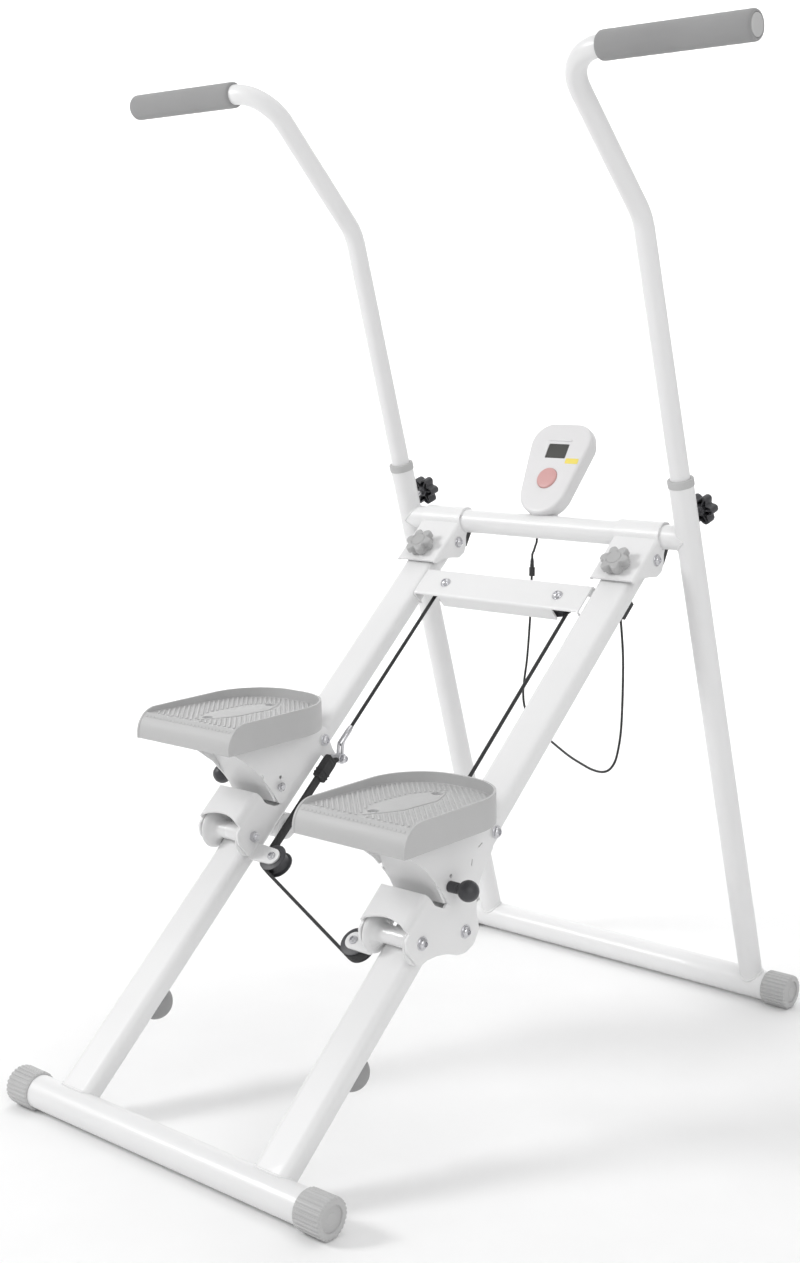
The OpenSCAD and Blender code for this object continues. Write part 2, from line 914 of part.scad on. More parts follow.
// console outline: two round corners at the top and one broad round foot, pulled in by inset
module console_outline(inset) {
  corner = 30;
  foot = 38;
  side_x = console_w / 2 - corner;
  top = console_h - corner;
  aim = atan2(top - foot, side_x) - acos((foot - corner) / norm([side_x, top - foot]));
  a = (corner - inset) * 0.999;
  b = (foot - inset) * 0.999;
  for (side = [-1, 1]) translate([side * side_x, top]) circle(r = corner - inset);
  translate([0, foot]) circle(r = foot - inset);
  polygon([
    [side_x + a * cos(aim), top + a * sin(aim)],
    [side_x, top + a],
    [-side_x, top + a],
    [-side_x - a * cos(aim), top + a * sin(aim)],
    [-b * cos(aim), foot + b * sin(aim)],
    [b * cos(aim), foot + b * sin(aim)],
  ]);
}

// console shell with a recess for the window and a well for the button, foot clamped on the crossbar
module console() {
  color("lightgray") on_console() difference() {
    union() {
      translate([0, -3, -4]) linear_extrude(height = 16) console_outline(0);
      translate([0, -3, -16]) linear_extrude(height = 12) console_outline(5);
      translate([-14, -6, -20]) cube([28, 40, 16]);
      translate([-19, 107, 12]) cube([38, 3, 1.5]);
    }
    translate([-17, window_y - 11, 9]) cube([34, 22, 10]);
    translate([0, button_y, 4]) cylinder(d = 31, h = 20);
    translate([0, -upright_d / 2 * cos(console_lean), -upright_d / 2 * sin(console_lean)])
      bar_x(-100, 100, upright_d + 0.04);
  }
}

module console_window() {
  color("darkslategray") on_console() translate([-16.9, window_y - 10.9, 9.02]) cube([33.8, 21.8, 2.6]);
}

module console_button() {
  color("pink") on_console() translate([0, button_y, 6.1]) cylinder(d = 30.8, h = 8);
}

module console_lead() {
  color("black") cord(lead_route, 1.6, 8);
}

// small plug that joins the console lead to the sensor wire
module lead_plug() {
  color("black") translate([-10, 240.5, 598.2]) {
    cylinder(d = 8, h = 12);
    translate([0, 0, 12]) cylinder(d = 5, h = 12);
  }
}

module sensor_wire() {
  color("black") cord(wire_route, 1.6, 8);
}

// magnet sensor on the rear face of the right rail
module sensor() {
  color("black") on_rail(1) translate([0, 832, -rail_front - 14.02]) cube([14, 26, 14]);
}

front_floor_tube();
front_caps();
rail_left();
rail_right();
crossbeam();
bumpers();
beam_bolts();
cable_pulley_left();
cable_pulley_right();
cable_top();
cable_left();
cable_right();
rear_floor_tube();
rear_caps();
upright_left();
upright_right();
crossbar();
hinge_brackets();
hinge_bolts();
stop_pads();
sleeve_bushes();
rail_knob_left();
rail_knob_right();
upright_knob_left();
upright_knob_right();
handlebar_left();
handlebar_right();
grip_left();
grip_right();
grip_plug_left();
grip_plug_right();
carriage_left();
carriage_right();
carriage_bolts_left();
carriage_bolts_right();
front_roller_left();
front_roller_right();
rear_roller_left();
rear_roller_right();
pedal_bracket_left();
pedal_bracket_right();
pedal_left();
pedal_right();
pull_pin_left();
pull_pin_right();
drum_left();
drum_right();
cable_end_left();
cable_end_right();
band_left();
band_right();
band_cross_left();
band_cross_right();
console();
console_window();
console_button();
console_lead();
lead_plug();
sensor_wire();
sensor();
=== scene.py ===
import json
from math import acos, asin, atan2, cos, degrees, hypot, pi, radians, sin, sqrt, tan

import bmesh
import bpy
from mathutils import Matrix, Vector, noise


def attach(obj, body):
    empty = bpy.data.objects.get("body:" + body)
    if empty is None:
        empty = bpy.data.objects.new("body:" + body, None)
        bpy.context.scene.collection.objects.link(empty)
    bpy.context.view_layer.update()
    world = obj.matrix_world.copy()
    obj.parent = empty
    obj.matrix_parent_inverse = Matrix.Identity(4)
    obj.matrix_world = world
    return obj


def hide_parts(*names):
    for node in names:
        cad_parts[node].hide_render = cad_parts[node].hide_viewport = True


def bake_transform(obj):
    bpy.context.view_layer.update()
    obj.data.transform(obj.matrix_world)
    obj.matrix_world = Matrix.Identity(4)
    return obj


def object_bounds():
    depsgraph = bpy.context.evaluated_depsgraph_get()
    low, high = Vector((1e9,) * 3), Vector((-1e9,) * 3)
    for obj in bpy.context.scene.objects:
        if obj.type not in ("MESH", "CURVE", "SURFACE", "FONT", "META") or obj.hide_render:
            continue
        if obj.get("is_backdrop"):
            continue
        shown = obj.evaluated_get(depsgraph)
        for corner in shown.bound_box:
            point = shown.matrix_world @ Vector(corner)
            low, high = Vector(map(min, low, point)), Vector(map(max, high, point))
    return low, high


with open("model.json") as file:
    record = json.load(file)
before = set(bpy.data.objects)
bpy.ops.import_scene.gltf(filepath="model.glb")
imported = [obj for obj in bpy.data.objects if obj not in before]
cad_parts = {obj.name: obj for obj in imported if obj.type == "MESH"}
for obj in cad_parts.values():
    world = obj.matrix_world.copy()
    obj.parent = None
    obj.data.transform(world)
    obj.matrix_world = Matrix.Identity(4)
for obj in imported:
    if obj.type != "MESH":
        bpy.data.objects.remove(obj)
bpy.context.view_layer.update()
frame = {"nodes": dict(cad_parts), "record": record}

# ---------- places and frames of the machine, metres and degrees, each for the right-hand side ----------
FRONT_Y, REAR_Y, FLOOR_Z = -0.445, 0.445, 0.023
RAIL_X, POST_X, BEAM_S, PULLEY_X = 0.163, 0.232, 0.827, 0.0934
SLOPE, LEAN, BAR_UP = 42.3, 17.1, 0.672
BEND, BEND_UP, GRIP_UP = 27.6, 1.082, 0.237
FRONT_AXLE, REAR_AXLE, PIVOT, CABLE_PIN = (0.010, 0.0245), (0.063, -0.031), (0.172, 0.017), (0.168, -0.014)
PIN, HINGE, KNOB_S = (0.1106, -0.1061), (0.911, 0.001), 0.880
DRUM_X, DRUM_Y, BAND_R, CABLE_R = -0.068, -0.003, 0.0169, 0.0025
AZIMUTH, ELEVATION = 41.16, 9.08
PLACE = {-1: 0.374, 1: 0.298}
SIDE = {-1: "left", 1: "right"}


def shift(x, y, z):
    return Matrix.Translation((x, y, z))


def turn(a, axis="X"):
    return Matrix.Rotation(radians(a), 4, axis)


M_SLOPE = shift(0, FRONT_Y, FLOOR_Z) @ turn(SLOPE)
M_RAIL = shift(RAIL_X, FRONT_Y, FLOOR_Z) @ turn(SLOPE)
M_UP = shift(POST_X, REAR_Y, FLOOR_Z) @ turn(LEAN)
M_GRIP = M_UP @ shift(0, 0, BEND_UP) @ turn(BEND) @ shift(0, 0, GRIP_UP)
BAR_Y = REAR_Y - BAR_UP * sin(radians(LEAN))
BAR_Z = FLOOR_Z + BAR_UP * cos(radians(LEAN))
M_CONSOLE = shift(-0.004, BAR_Y, BAR_Z + 0.016) @ turn(58)
ALONG_X = turn(90, "Y")
MIRROR = Matrix.Scale(-1, 4, (1, 0, 0))


def m_carriage(side):
    return M_RAIL @ shift(0, PLACE[side], 0)


def m_pedal(side):
    return m_carriage(side) @ shift(0, 0.0664, 0.189) @ turn(1.5 - SLOPE)


# ---------- camera ----------
cam = bpy.data.objects.new("camera", bpy.data.cameras.new("camera"))
bpy.context.collection.objects.link(cam)
cam.data.sensor_fit = "VERTICAL"
cam.data.sensor_height = 24
cam.data.lens = 33.62
cam.data.clip_end = 60
az, el = radians(AZIMUTH), radians(ELEVATION)
back = Vector((sin(az) * cos(el), -cos(az) * cos(el), sin(el)))
cam.rotation_euler = back.to_track_quat("Z", "Y").to_euler()
cam.location = (1.4257, -1.6743, 0.9031)
bpy.context.scene.camera = cam

# ---------- materials ----------


def material(name, colour, rough, metal=0.0, grain=(400, 0.05), tint=0.04, spots=(9, 0.06), coat=0.0,
             sheen=0.0, weave=None):
    """Procedural finish: fine bump, slow colour drift and uneven roughness."""
    m = bpy.data.materials.new(name)
    m.use_nodes = True
    t = m.node_tree
    b = t.nodes["Principled BSDF"]
    n = t.nodes.new
    link = t.links.new
    where = n("ShaderNodeTexCoord").outputs["Object"]
    fine, slow = n("ShaderNodeTexNoise"), n("ShaderNodeTexNoise")
    fine.inputs["Scale"].default_value = grain[0]
    fine.inputs["Detail"].default_value = 3
    slow.inputs["Scale"].default_value = spots[0]
    slow.inputs["Detail"].default_value = 4
    link(where, fine.inputs["Vector"])
    link(where, slow.inputs["Vector"])
    ramp = n("ShaderNodeMapRange")
    ramp.inputs["From Min"].default_value = 0.3
    ramp.inputs["From Max"].default_value = 0.7
    ramp.inputs["To Min"].default_value = 1 - tint
    ramp.inputs["To Max"].default_value = 1 + tint
    link(slow.outputs["Fac"], ramp.inputs["Value"])
    mix = n("ShaderNodeMix")
    mix.data_type = "RGBA"
    mix.blend_type = "MULTIPLY"
    mix.inputs["Factor"].default_value = 1
    mix.inputs["A"].default_value = (*colour, 1)
    link(ramp.outputs["Result"], mix.inputs["B"])
    link(mix.outputs["Result"], b.inputs["Base Color"])
    r = n("ShaderNodeMapRange")
    r.inputs["From Min"].default_value = 0.3
    r.inputs["From Max"].default_value = 0.7
    r.inputs["To Min"].default_value = max(0.03, rough - spots[1])
    r.inputs["To Max"].default_value = min(1, rough + spots[1])
    link(slow.outputs["Fac"], r.inputs["Value"])
    link(r.outputs["Result"], b.inputs["Roughness"])
    b.inputs["Metallic"].default_value = metal
    b.inputs["Coat Weight"].default_value = coat
    b.inputs["Sheen Weight"].default_value = sheen
    bump = n("ShaderNodeBump")
    bump.inputs["Strength"].default_value = grain[1]
    bump.inputs["Distance"].default_value = 0.002
    height = fine.outputs["Fac"]
    if weave:
        wave = n("ShaderNodeTexWave")
        wave.inputs["Scale"].default_value = weave
        wave.inputs["Distortion"].default_value = 1.2
        link(where, wave.inputs["Vector"])
        height = wave.outputs["Fac"]
    link(height, bump.inputs["Height"])
    link(bump.outputs["Normal"], b.inputs["Normal"])
    return m


PAINT = material("white_paint", (0.77, 0.77, 0.772), 0.42, grain=(260, 0.05), tint=0.012, coat=0.12)
PLASTIC = material("grey_plastic", (0.47, 0.47, 0.47), 0.5, grain=(900, 0.12), tint=0.03)
KNOB_GREY = material("knob_grey", (0.42, 0.42, 0.42), 0.42, grain=(900, 0.1), tint=0.04)
DARK = material("dark_plastic", (0.045, 0.045, 0.05), 0.42, grain=(900, 0.1), tint=0.08)
FOAM = material("foam", (0.30, 0.30, 0.302), 0.85, grain=(1400, 0.5), tint=0.05, sheen=0.2)
GREY_RUBBER = material("grey_rubber", (0.30, 0.30, 0.302), 0.6, grain=(800, 0.15), tint=0.05)
BLACK = material("black_rubber", (0.018, 0.018, 0.019), 0.5, grain=(700, 0.1), tint=0.1)
ZINC = material("zinc", (0.62, 0.62, 0.64), 0.28, metal=1.0, grain=(600, 0.06), tint=0.05)
ROLLER = material("roller_nylon", (0.74, 0.74, 0.742), 0.26, grain=(500, 0.03), tint=0.02, coat=0.3)
SHELL = material("console_shell", (0.70, 0.695, 0.70), 0.42, grain=(900, 0.05), tint=0.015, coat=0.1)
LCD = material("display", (0.048, 0.047, 0.043), 0.4, grain=(300, 0.01), tint=0.12)
BUTTON = material("button_pink", (0.60, 0.33, 0.32), 0.4, grain=(700, 0.05), tint=0.04)
YELLOW = material("yellow_patch", (0.80, 0.66, 0.12), 0.45, grain=(700, 0.05), tint=0.04)
BAND = material("elastic_band", (0.030, 0.030, 0.031), 0.75, grain=(900, 0.35), tint=0.15, weave=520)
CABLE = material("coated_cable", (0.015, 0.015, 0.016), 0.38, grain=(900, 0.08), tint=0.1, weave=700)

LOOK = {
    "frame_paint": PAINT, "grey_plastic": PLASTIC, "dark_plastic": DARK, "foam": FOAM,
    "grey_rubber": GREY_RUBBER,
    "black_rubber": BLACK, "zinc": ZINC, "roller": ROLLER, "console_shell": SHELL, "window": LCD,
    "button": BUTTON, "band": BAND, }
SLOT_OF = {look.name: slot for slot, look in LOOK.items()}
SLOT_OF.update({KNOB_GREY.name: "grey_plastic", YELLOW.name: "console_shell", CABLE.name: "black_rubber"})
SLOTS = {s["node"]: s["material_slot"] for s in frame["record"]["subparts"]}
for node, o in frame["nodes"].items():
    o.data.materials.clear()
    o.data.materials.append(LOOK[SLOTS[node]])
    for p in o.data.polygons:
        p.material_index = 0

# ---------- mesh helpers ----------


def mm(points):
    """Points written in millimetres, in metres."""
    return [tuple(v / 1000 for v in p) for p in points]


def finish_mesh(name, bm, matrix, side, mat, body, nodes=(), bevel=0.0, sharp=35):
    """bm in a right-hand local frame becomes a piece in the row frame, mirrored for the left side."""
    bmesh.ops.transform(bm, matrix=matrix, verts=bm.verts)
    if side < 0:
        bmesh.ops.transform(bm, matrix=MIRROR, verts=bm.verts)
    bmesh.ops.recalc_face_normals(bm, faces=bm.faces)
    me = bpy.data.meshes.new(name)
    bm.to_mesh(me)
    bm.free()
    o = bpy.data.objects.new(name, me)
    bpy.context.collection.objects.link(o)
    me.materials.append(mat)
    if bevel:
        add_bevel(o, bevel, 3)
    me.shade_smooth()
    me.set_sharp_from_angle(angle=radians(sharp))
    if body:
        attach(o, body)
    if nodes:
        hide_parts(*nodes)
    return o


def side_piece(name, bm, matrix, side, mat, body, nodes=(), **edge):
    """One of a mirrored pair: its name, its body and its nodes all end in the side."""
    tag = "_" + SIDE[side]
    return finish_mesh(name + tag, bm, matrix, side, mat, body + tag, [node + tag for node in nodes], **edge)


def add_bevel(o, width, segments=2):
    b = o.modifiers.new("edge", "BEVEL")
    b.width = width
    b.segments = segments
    b.limit_method = "ANGLE"
    b.angle_limit = radians(38)
    b.harden_normals = False
    return b


def skin(bm, rings):
    """Quads between each two rings that follow one another."""
    for a, b in zip(rings, rings[1:]):
        for k in range(len(a)):
            j = (k + 1) % len(a)
            bm.faces.new((a[k], a[j], b[j], b[k]))


def lathe(bm, profile, m=Matrix(), n=48):
    """Surface of revolution about local z; profile is (radius, z) pairs, closed where the radius is 0."""
    rings = []
    for r, z in profile:
        if r < 1e-7:
            rings.append([bm.verts.new(m @ Vector((0, 0, z)))])
        else:
            rings.append([bm.verts.new(m @ Vector((r * cos(2 * pi * k / n), r * sin(2 * pi * k / n), z)))
                          for k in range(n)])
    for a, b in zip(rings, rings[1:]):
        for k in range(n):
            j = (k + 1) % n
            if len(a) == 1 and len(b) == 1:
                continue
            if len(a) == 1:
                bm.faces.new((a[0], b[j], b[k]))
            elif len(b) == 1:
                bm.faces.new((a[k], a[j], b[0]))
            else:
                bm.faces.new((a[k], a[j], b[j], b[k]))
    return rings


def cylinder(bm, r, z0, z1, m=Matrix(), n=28):
    lathe(bm, [(0, z0), (r, z0), (r, z1), (0, z1)], m, n)


def prism(bm, outline, z0, z1, m=Matrix()):
    """Solid between two heights over a 2-D outline."""
    low = [bm.verts.new(m @ Vector((x, y, z0))) for x, y in outline]
    high = [bm.verts.new(m @ Vector((x, y, z1))) for x, y in outline]
    bm.faces.new(low[::-1])
    bm.faces.new(high)
    skin(bm, [low, high])


def sweep(bm, points, radius, n=12):
    """Round rod through points, closed at both ends."""
    rings = []
    normal = None
    for i, p in enumerate(points):
        t = (points[min(i + 1, len(points) - 1)] - points[max(i - 1, 0)]).normalized()
        if normal is None:
            normal = t.orthogonal().normalized()
        normal = (normal - t * normal.dot(t)).normalized()
        side = t.cross(normal)
        rings.append([bm.verts.new(p + radius * (cos(2 * pi * k / n) * normal + sin(2 * pi * k / n) * side))
                      for k in range(n)])
    skin(bm, rings)
    bm.faces.new(rings[0][::-1])
    bm.faces.new(rings[-1])


def solid(shape, *args):
    """A new mesh with one shape in it."""
    bm = bmesh.new()
    shape(bm, *args)
    return bm


def arc(cx, cy, r, a0, a1, n=8):
    return [(cx + r * cos(radians(a0 + (a1 - a0) * k / n)), cy + r * sin(radians(a0 + (a1 - a0) * k / n)))
            for k in range(n + 1)]


def temporary_object(bm):
    me = bpy.data.meshes.new("tool")
    bmesh.ops.recalc_face_normals(bm, faces=bm.faces)
    bm.to_mesh(me)
    bm.free()
    o = bpy.data.objects.new("tool", me)
    bpy.context.collection.objects.link(o)
    return o


def combine(base, tools):
    """Boolean chain on bmesh solids: base, then (operation, bmesh) pairs. Gives back a bmesh."""
    o = temporary_object(base)
    for op, bm in tools:
        t = temporary_object(bm)
        b = o.modifiers.new("cut", "BOOLEAN")
        b.operation = op
        b.solver = "EXACT"
        b.object = t
        dg = bpy.context.evaluated_depsgraph_get()
        me = bpy.data.meshes.new_from_object(o.evaluated_get(dg))
        o.modifiers.clear()
        o.data = me
        bpy.data.objects.remove(t)
    out = bmesh.new()
    out.from_mesh(o.data)
    bpy.data.objects.remove(o)
    return out


def smooth_path(points, steps=6):
    """Catmull-Rom line through the points."""
    p = [Vector(a) for a in points]
    p = [2 * p[0] - p[1]] + p + [2 * p[-1] - p[-2]]
    out = []
    for i in range(1, len(p) - 2):
        for k in range(steps):
            t = k / steps
            a, b, c, d = p[i - 1 : i + 3]
            out.append(0.5 * ((2 * b) + (c - a) * t + (2 * a - 5 * b + 4 * c - d) * t * t
                              + (3 * b - a - 3 * c + d) * t ** 3))
    out.append(p[-2])
    return out


# ---------- cords ----------
WIRE = [
    (-10, 240, 598), (-11, 240, 570), (-12, 240, 540), (-14, 240, 510), (-16, 239, 480),
    (-19, 238, 455), (-20, 237, 435), (-16, 235, 418), (-6, 232, 404), (10, 228, 393),
    (30, 224, 383), (52, 219, 374), (76, 214, 365), (98, 210, 359), (118, 206, 355),
    (136, 203, 355), (150, 200, 361), (160, 198, 374), (166, 196, 392), (170, 195, 415),
    (172, 194, 445), (173, 193, 480), (173, 192, 515), (171, 191, 545), (169, 191, 562), ]
LEAD = [(-8, 248, 649), (-8, 247.5, 644), (-9, 246, 639), (-9, 243, 633), (-10, 241, 628),
        (-10, 240.5, 622.3)]


bm = solid(lathe, mm([(0, 0), (3.6, 0), (4, 0.5), (4, 11.2), (3.6, 12), (2.8, 12.5), (2.6, 13.5), (2.8, 14),
                      (2.6, 15), (2.8, 16), (2.4, 17.5), (2.6, 19), (2, 24), (0, 24)]),
                      shift(-0.010, 0.2405, 0.5982), 24)
plug = finish_mesh("lead_plug_body", bm, Matrix(), 1, BLACK, "rear_frame", ["lead_plug"])

wire_path = smooth_path([Vector(p) / 1000 for p in LEAD + WIRE])
bm = solid(sweep, wire_path, 0.0016, 12)
wire = finish_mesh("sensor_wire_line", bm, Matrix(), 1, BLACK, None, ["sensor_wire", "console_lead"])
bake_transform(wire)

# ---------- bolts ----------


def head(bm, m, r, tall, washer=None):
    """Button head with a hex socket on an optional washer, standing on local z = 0."""
    z = 0.0
    if washer:
        lathe(bm, [(0, 0), (washer, 0), (washer, 0.0011), (washer - 0.0003, 0.0014), (0, 0.0014)], m, 40)
        z = 0.0014
    steps = [(r, z), (r, z + tall * 0.22)] + [
        (r * cos(radians(a)) * 0.98 + r * 0.02, z + tall * (0.22 + 0.78 * sin(radians(a))))
        for a in (18, 36, 52, 62)
    ]
    hexa = r * 0.5
    n = 36
    rings = lathe(bm, [(0, z)] + steps, m, n)
    top = rings[-1]
    depth = z + tall * 0.45
    socket_top, socket_low = [], []
    for k in range(n):
        a = 2 * pi * k / n
        d = hexa * cos(pi / 6) / cos((a % (pi / 3)) - pi / 6)
        socket_top.append(bm.verts.new(m @ Vector((d * cos(a), d * sin(a), z + tall * 0.95))))
        socket_low.append(bm.verts.new(m @ Vector((d * cos(a), d * sin(a), depth))))
    for k in range(n):
        j = (k + 1) % n
        bm.faces.new((top[k], top[j], socket_top[j], socket_top[k]))
        bm.faces.new((socket_top[k], socket_top[j], socket_low[j], socket_low[k]))
    bm.faces.new(socket_low)


def nut(bm, m, r, tall):
    """Hex nut with a domed insert, standing on local z = 0."""
    prism(bm, [(r * cos(pi * k / 3), r * sin(pi * k / 3)) for k in range(6)], 0, tall, m)
    lathe(bm, [(0, tall - 0.0005), (r * 0.55, tall - 0.0005), (r * 0.55, tall + 0.001),
               (r * 0.4, tall + 0.0022), (0, tall + 0.0024)], m, 24)


def shaft(bm, m, x0, x1, d):
    cylinder(bm, d / 2, x0, x1, m, 28)


for side in (-1, 1):
    bm = bmesh.new()
    for (s, h), x0 in ((FRONT_AXLE, -0.037), (REAR_AXLE, -0.025)):
        m = shift(0, s, h) @ ALONG_X
        shaft(bm, m, x0, 0.0361, 0.0079)
        head(bm, m @ shift(0, 0, 0.03602), 0.0065, 0.0046, 0.0082)
    nut(bm, shift(-0.03602, *FRONT_AXLE) @ turn(-90, "Y"), 0.0068, 0.0055)
    for flip in (1, -1):
        m = shift(0, *PIVOT) @ turn(90 * flip, "Y")
        shaft(bm, m, 0.030, 0.0421, 0.0079)
        head(bm, m @ shift(0, 0, 0.04202), 0.0062, 0.0042, 0.0078)
    m = shift(DRUM_X, DRUM_Y, 0)
    shaft(bm, m, -0.011, 0.0106, 0.0058)
    head(bm, m @ shift(0, 0, 0.01055), 0.0055, 0.0038)
    m = shift(0, *CABLE_PIN) @ turn(-90, "Y")
    shaft(bm, m, 0.030, 0.0602, 0.0058)
    head(bm, m @ shift(0, 0, 0.0602), 0.005, 0.0036)
    side_piece("carriage_bolt_set", bm, m_carriage(side), side, ZINC, "carriage", ["carriage_bolts"],
               sharp=30)

bm = bmesh.new()
for side in (-1, 1):
    m = M_SLOPE @ shift(side * PULLEY_X, BEAM_S, 0)
    shaft(bm, m, -0.012, 0.0136, 0.0079)
    head(bm, m @ shift(0, 0, 0.0135), 0.0058, 0.0042, 0.0071)
finish_mesh("beam_bolt_set", bm, Matrix(), 1, ZINC, "ladder", ["beam_bolts"], sharp=30)

bm = bmesh.new()
for side in (-1, 1):
    m = M_SLOPE @ shift(side * RAIL_X, *HINGE)
    shaft(bm, m @ ALONG_X, -0.038, 0.038, 0.0079)
    head(bm, m @ turn(90, "Y") @ shift(0, 0, 0.03402), 0.0062, 0.0044, 0.0077)
    head(bm, m @ turn(-90, "Y") @ shift(0, 0, 0.03402), 0.0062, 0.0044, 0.0077)
finish_mesh("hinge_bolt_set", bm, Matrix(), 1, ZINC, "rear_frame", ["hinge_bolts"], sharp=30)

# ---------- pedals ----------
HALF, TOE, CORNER, HEEL, DEEP = 0.083, 0.188, 0.072, -0.016, 0.036
FALL = -0.0378
SCREWS = (0.028, 0.137)
SIDEWAYS = Matrix(((0, 0, 1, 0), (1, 0, 0, 0), (0, 1, 0, 0), (0, 0, 0, 1)))


def tread(y):
    return -0.0062 + FALL * y


def plan(inset, start, n=16):
    a, t, r = HALF - inset, TOE - inset, CORNER - inset
    return [(-a, start), (a, start)] + arc(a - r, t - r, r, 0, 90, n) + arc(r - a, t - r, r, 90, 180, n)


def in_plan(x, y, inset):
    a, t, r = HALF - inset, TOE - inset, CORNER - inset
    if abs(x) > a or y > t:
        return False
    dx, dy = abs(x) - (a - r), y - (t - r)
    return dx <= 0 or dy <= 0 or hypot(dx, dy) <= r


def in_boat(x, y, grow=0.0):
    """Smooth centre panel: pointed at both ends, 42 mm across in the middle."""
    low, high = 0.010 - grow, 0.153 + grow
    if not low < y < high:
        return False
    u = (y - low) / (high - low)
    return abs(x) < (0.021 + grow) * min(1, 3.2 * u, 3.6 * (1 - u)) ** 0.8


def rib(bm, a, b, wide, tall, m):
    """Low rib with sloped flanks and ends between two points of the tread."""
    d = (b - a).normalized()
    s = Vector((-d.y, d.x))
    base = [a - s * wide / 2, b - s * wide / 2, b + s * wide / 2, a + s * wide / 2]
    k = wide * 0.22
    top = [a + d * k - s * (wide / 2 - k), b - d * k - s * (wide / 2 - k), b - d * k + s * (wide / 2 - k),
           a + d * k + s * (wide / 2 - k)]
    low = [bm.verts.new(m @ Vector((p.x, p.y, tread(p.y) - 0.0006))) for p in base]
    high = [bm.verts.new(m @ Vector((p.x, p.y, tread(p.y) + tall))) for p in top]
    bm.faces.new(low[::-1])
    bm.faces.new(high)
    skin(bm, [low, high])


def tread_ribs(bm):
    d, s = Vector((0.7071, -0.7071)), Vector((0.7071, 0.7071))
    for k in range(-14, 42):
        run = None
        for i in range(-220, 221):
            p = s * (k * 0.006) + d * (i * 0.001)
            ok = in_plan(p.x, p.y, 0.0068) and p.y > 0.004 and not in_boat(p.x, p.y, 0.0035)
            if ok and run is None:
                run = p
            if run is not None and not ok:
                if (p - run).length > 0.006:
                    rib(bm, run, p - d * 0.001, 0.0038, 0.0013, Matrix())
                run = None


def pedal_shell():
    heel_arc = arc(0.014, -0.030, 0.030, 90, 180, 12)
    body = solid(prism, plan(0, HEEL), -DEEP, 0)
    side = solid(prism, [(0.3, 0), (0.3, -0.05), (HEEL, -0.05)] + heel_arc[::-1], -0.2, 0.2, SIDEWAYS)
    well = solid(prism, plan(0.003, -0.08), -0.1, 0.05)
    inner = arc(0.014, -0.030, 0.0292, 122, 180, 9)
    floor_cut = solid(prism, [(-0.1, -0.1), (-0.1, 0.05), (0.3, 0.05), (0.3, tread(0.3)), (0.02, tread(0.02)),
                      (0.004, tread(0.004) - 0.0001)] + inner + [(-0.0152, -0.1)], -0.2, 0.2, SIDEWAYS)
    well = combine(well, [("INTERSECT", floor_cut)])
    under = solid(prism, plan(0.003, -0.0125), -0.1, 0.0)
    cut = bmesh.new()
    hollow = arc(0.014, -0.030, 0.0265, 131, 180, 9)
    prism(cut, [(0.3, tread(0.3) - 0.003), (0.010, tread(0.010) - 0.003)] + hollow
          + [(-0.0125, -0.2), (0.3, -0.2)], -0.2, 0.2, SIDEWAYS)
    under = combine(under, [("INTERSECT", cut)])
    tools = [("INTERSECT", side), ("DIFFERENCE", well), ("DIFFERENCE", under)]
    for y in SCREWS:
        hole = solid(lathe, mm([(0, -2.8), (6.2, -2.8), (7.5, 20), (0, 20)]), shift(0, y, tread(y)), 32)
        tools.append(("DIFFERENCE", hole))
    bm = combine(body, tools)
    for y in SCREWS:
        lathe(bm, [(0, -0.0180), (0.009, -0.0180), (0.009, tread(y) - 0.0035), (0.0078, tread(y) - 0.0025),
                   (0, tread(y) - 0.0025)], shift(0, y, 0), 32)
    for x in (-0.060, 0.060):
        prism(bm, [(0.004, tread(0.004) - 0.0028), (-0.0120, -0.024), (0.150, -0.026),
                   (0.150, tread(0.15) - 0.0028)], x - 0.001, x + 0.001, SIDEWAYS)
    for y in (0.018, 0.070, 0.120):
        for x0, x1 in ((-0.080, -0.0405), (0.0405, 0.080)):
            prism(bm, [(x0, y - 0.001), (x1, y - 0.001), (x1, y + 0.001), (x0, y + 0.001)], -0.021,
                  tread(y) - 0.0028)
    return bm


def pedal_detail():
    bm = bmesh.new()
    # boat-shaped panel, a low step above the tread
    low, high = 0.010, 0.153
    right = []
    for k in range(25):
        u = k / 24
        right.append((0.021 * min(1, 3.2 * u, 3.6 * (1 - u)) ** 0.8, low + (high - low) * u))
    outline = right[1:-1] + [(0, high)] + [(-x, y) for x, y in right[1:-1][::-1]] + [(0, low)]
    rings = []
    for inset, z in ((0.0, -0.0006), (0.0003, 0.0007), (0.0011, 0.0010)):
        ring = []
        for x, y in outline:
            f = 1 - inset / 0.021
            g = (y - 0.0815) * (1 - inset / 0.07) + 0.0815
            ring.append(bm.verts.new(Vector((x * f, g, tread(g) + z))))
        rings.append(ring)
    skin(bm, rings)
    bm.faces.new(rings[-1])
    bm.faces.new(rings[0][::-1])
    drills = []
    for y in SCREWS:
        hole = solid(lathe, mm([(0, -10), (6.2, -10), (7.2, 10), (0, 10)]), shift(0, y, tread(y)), 32)
        drills.append(("DIFFERENCE", hole))
    bm = combine(bm, drills)
    tread_ribs(bm)
    # low teeth where the tread rolls over into the heel
    a = radians(133)
    for k in range(-12, 13):
        m = shift(k * 0.0062, 0.014 + 0.0292 * cos(a), -0.030 + 0.0292 * sin(a)) @ turn(43)
        prism(bm, mm([(-1.9, -1.3), (1.9, -1.3), (1.3, 1.3), (-1.3, 1.3)]), -0.0004, 0.0005, m)
    return bm


shell_master, detail_master = pedal_shell(), pedal_detail()


